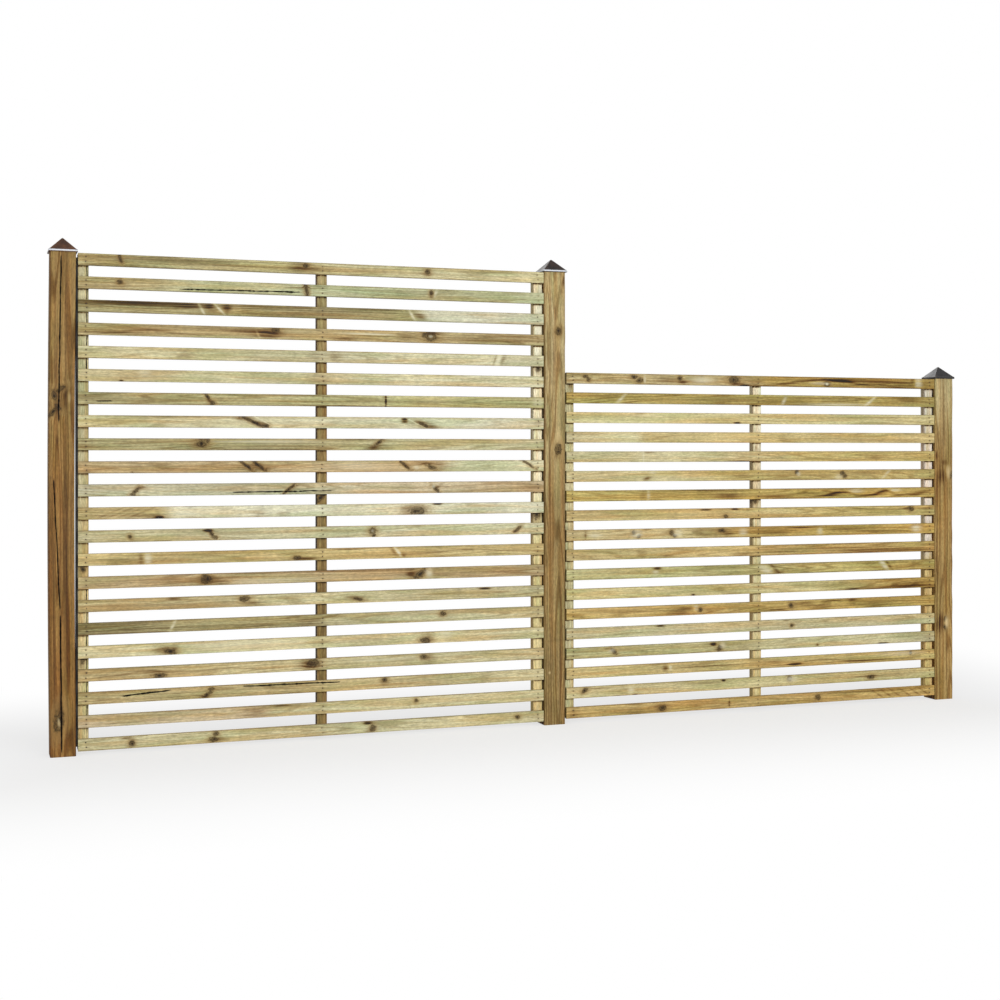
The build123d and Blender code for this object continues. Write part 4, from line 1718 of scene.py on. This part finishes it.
@dataclass
class Studio:
    """A pale floor, a white surround, a soft key light and the camera."""

    eye: tuple[float, float, float] = (-2.2072, -5.6819, 1.1100)
    yaw: float = 19.516  # degrees to the right of straight ahead
    lens: float = 54.358
    sensor_width: float = 36.0
    horizon: float = -0.05184
    far_end: float = 500.0  # the camera sees this far
    floor_half: float = 60.0
    floor_colour: Colour = (0.86, 0.86, 0.86, 1.0)
    run_half: float = 1.6  # the shadow starts to fade this far from the run's middle
    shadow_reach: float = 1.6  # from the fence, beyond which the floor is plain white
    near_white: float = 0.66  # share of plain white beside the fence
    fill: float = 0.45
    zenith_shine: float = 0.10  # reflections of straight up, where the horizon is 1
    back_glow: float = 3.5  # added to reflections of the surround behind the fence, half way up
    key_power: float = 290.0
    key_size: tuple[float, float] = (8.0, 3.0)
    key_place: tuple[float, float, float] = (-0.6, -6.2, 2.5)
    key_aim: tuple[float, float, float] = (0.0, 0.0, 0.9)

    def floor(self) -> None:
        """A wide flat floor that reads white and keeps the fence's shadow."""
        half = self.floor_half
        mesh = bpy.data.meshes.new("studio_floor")
        corners = [(-half, -half, 0.0), (half, -half, 0.0), (half, half, 0.0), (-half, half, 0.0)]
        mesh.from_pydata(corners, [], [(0, 1, 2, 3)])
        made = linked("studio_floor", mesh)
        sheet = MaterialSheet("floor_white")
        sheet.finish(self.floor_colour, 0.9, shine=0.0)
        glow = sheet.add("Emission")
        path = sheet.add("LightPath")
        blend = sheet.add("MixShader")
        parts = sheet.parted(sheet.place())
        beside = sheet.maths("ABSOLUTE", parts["Y"])
        beyond = sheet.maths("SUBTRACT", sheet.maths("ABSOLUTE", parts["X"]), self.run_half)
        away = sheet.maths("MAXIMUM", beside, beyond)
        white = sheet.ranged(away, 0.1, self.shadow_reach, self.near_white, 1.0)
        share = sheet.maths("MULTIPLY", path.outputs["Is Camera Ray"], white)
        sheet.put(blend.inputs[0], share)
        sheet.put(blend.inputs[1], sheet.surface.outputs["BSDF"])
        sheet.put(blend.inputs[2], glow.outputs["Emission"])
        sheet.put(sheet.output.inputs["Surface"], blend.outputs["Shader"])
        made.data.materials.append(sheet.material)

    def surround(self) -> None:
        """A white world for the camera and for reflections, and a softer fill for the rest.

        Reflections fade towards straight up. A bright band half way up behind the fence shines on the caps.
        """
        world = bpy.data.worlds.new("studio_surround")
        bpy.context.scene.world = world
        world.use_nodes = True
        sheet = NodeSheet(world.node_tree)
        path = sheet.add("LightPath")
        back = sheet.add("Background")
        output = sheet.add("OutputWorld")
        parts = sheet.parted(sheet.add("TexCoord").outputs["Generated"])
        shine = sheet.ranged(parts["Z"], 0.58, 0.76, 1.0, self.zenith_shine)
        rise = sheet.ranged(parts["Z"], 0.42, 0.52, 0.0, self.back_glow)
        fall = sheet.ranged(parts["Z"], 0.62, 0.74, 1.0, 0.0)
        behind = sheet.ranged(parts["Y"], 0.45, 0.70, 0.0, 1.0)
        band = sheet.maths("MULTIPLY", sheet.maths("MULTIPLY", rise, fall), behind)
        glossy = sheet.maths("MULTIPLY", path.outputs["Is Glossy Ray"], sheet.maths("ADD", shine, band))
        seen = sheet.maths("MAXIMUM", path.outputs["Is Camera Ray"], glossy)
        sheet.put(back.inputs["Color"], (1.0, 1.0, 1.0, 1.0))
        sheet.put(back.inputs["Strength"], sheet.maths("MULTIPLY_ADD", seen, 1.0 - self.fill, self.fill))
        sheet.put(output.inputs["Surface"], back.outputs["Background"])

    def key(self) -> None:
        """A large soft light above the camera, turned to the fence."""
        data = bpy.data.lights.new("studio_key", "AREA")
        data.shape = "RECTANGLE"
        data.size = self.key_size[0]
        data.size_y = self.key_size[1]
        data.energy = self.key_power
        lamp = linked("studio_key", data)
        away = np.array(self.key_aim) - np.array(self.key_place)
        lamp.location = self.key_place
        flat = math.hypot(away[0], away[1])
        lamp.rotation_euler = (math.atan2(flat, -away[2]), 0.0, math.atan2(-away[0], away[1]))

    def camera(self) -> None:
        """A level camera, turned to the right, with its picture shifted to the photo's horizon."""
        data = bpy.data.cameras.new("photo_camera")
        data.sensor_width = self.sensor_width
        data.lens = self.lens
        data.shift_y = self.horizon
        data.clip_end = self.far_end
        made = linked("photo_camera", data)
        made.location = self.eye
        made.rotation_euler = (math.pi / 2.0, 0.0, -math.radians(self.yaw))
        bpy.context.scene.camera = made

    def build(self) -> None:
        """Sets up the whole studio."""
        self.floor()
        self.surround()
        self.key()
        self.camera()
        bpy.context.scene.view_settings.view_transform = "Standard"


def main() -> None:
    """Builds every piece in order."""
    logging.basicConfig(level=logging.INFO)
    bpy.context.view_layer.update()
    slat_finish = TimberFinish("slat_pine").material()
    batten_finish = TimberFinish("batten_pine", ring_rate=90.0, ring_strength=0.7).material()
    post_finish = TimberFinish(
        "post_pine",
        ring_rate=85.0,
        line_rate=14.0,
        tear_rates=(70.0, 130.0, 0.0),
        bleach_colour=(0.66, 0.50, 0.25, 1.0),
    ).material()
    # a real packing strip, coloured near black as painted shade in the gap beside the post
    packer_shade_finish = ShadeStripFinish("packer_shade").material()
    nail_finish = SteelFinish(
        "nail_zinc", bright=(0.045, 0.036, 0.024, 1.0), dull=(0.012, 0.010, 0.008, 1.0), metallic=0.2
    ).material()
    screw_finish = SteelFinish(
        "screw_zinc", bright=(0.62, 0.60, 0.52, 1.0), dull=(0.45, 0.43, 0.38, 1.0), metallic=1.0
    ).material()
    brown_cap = CapFinish("cap_brown", (0.130, 0.052, 0.020, 1.0), (0.055, 0.024, 0.012, 1.0)).material()
    black_cap = CapFinish("cap_black", (0.036, 0.020, 0.015, 1.0), (0.012, 0.008, 0.007, 1.0)).material()
    grey_cap = CapFinish("cap_grey", (0.028, 0.026, 0.027, 1.0), (0.012, 0.011, 0.012, 1.0)).material()
    panels = (
        SlattedPanel("tall", TALL_BOARDS, seed=1000),
        SlattedPanel("low", LOW_BOARDS, seed=2000, batten_side_shade=((0.2, 0.2),) * 3),
    )
    for panel in panels:
        panel.build(slat_finish, batten_finish, nail_finish, packer_shade_finish)
        log.info("%s panel: %d slats with battens, nails and packer", panel.name, len(panel.boards))
    tall_top, low_top = (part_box(panel.slat_node(0))[1].z for panel in panels)
    posts = (
        CappedPost(Side.LEFT, seed=3000, bow=-0.0055, skirt_highlight=1.0, panel_tops=(0.0, tall_top)),
        CappedPost(Side.MIDDLE, seed=3001, skirt_highlight=1.0, panel_tops=(tall_top, low_top)),
        CappedPost(Side.RIGHT, seed=3002, panel_tops=(low_top, 0.0)),
    )
    for post, cap_finish in zip(posts, (brown_cap, black_cap, grey_cap)):
        post.build(post_finish, cap_finish)
        log.info("%s post with its cap", post.side.value)
    dress_node("batten_screws", screw_finish)
    log.info("batten screws")
    Studio().build()
    log.info("studio")


if __name__ == "__main__":
    main()
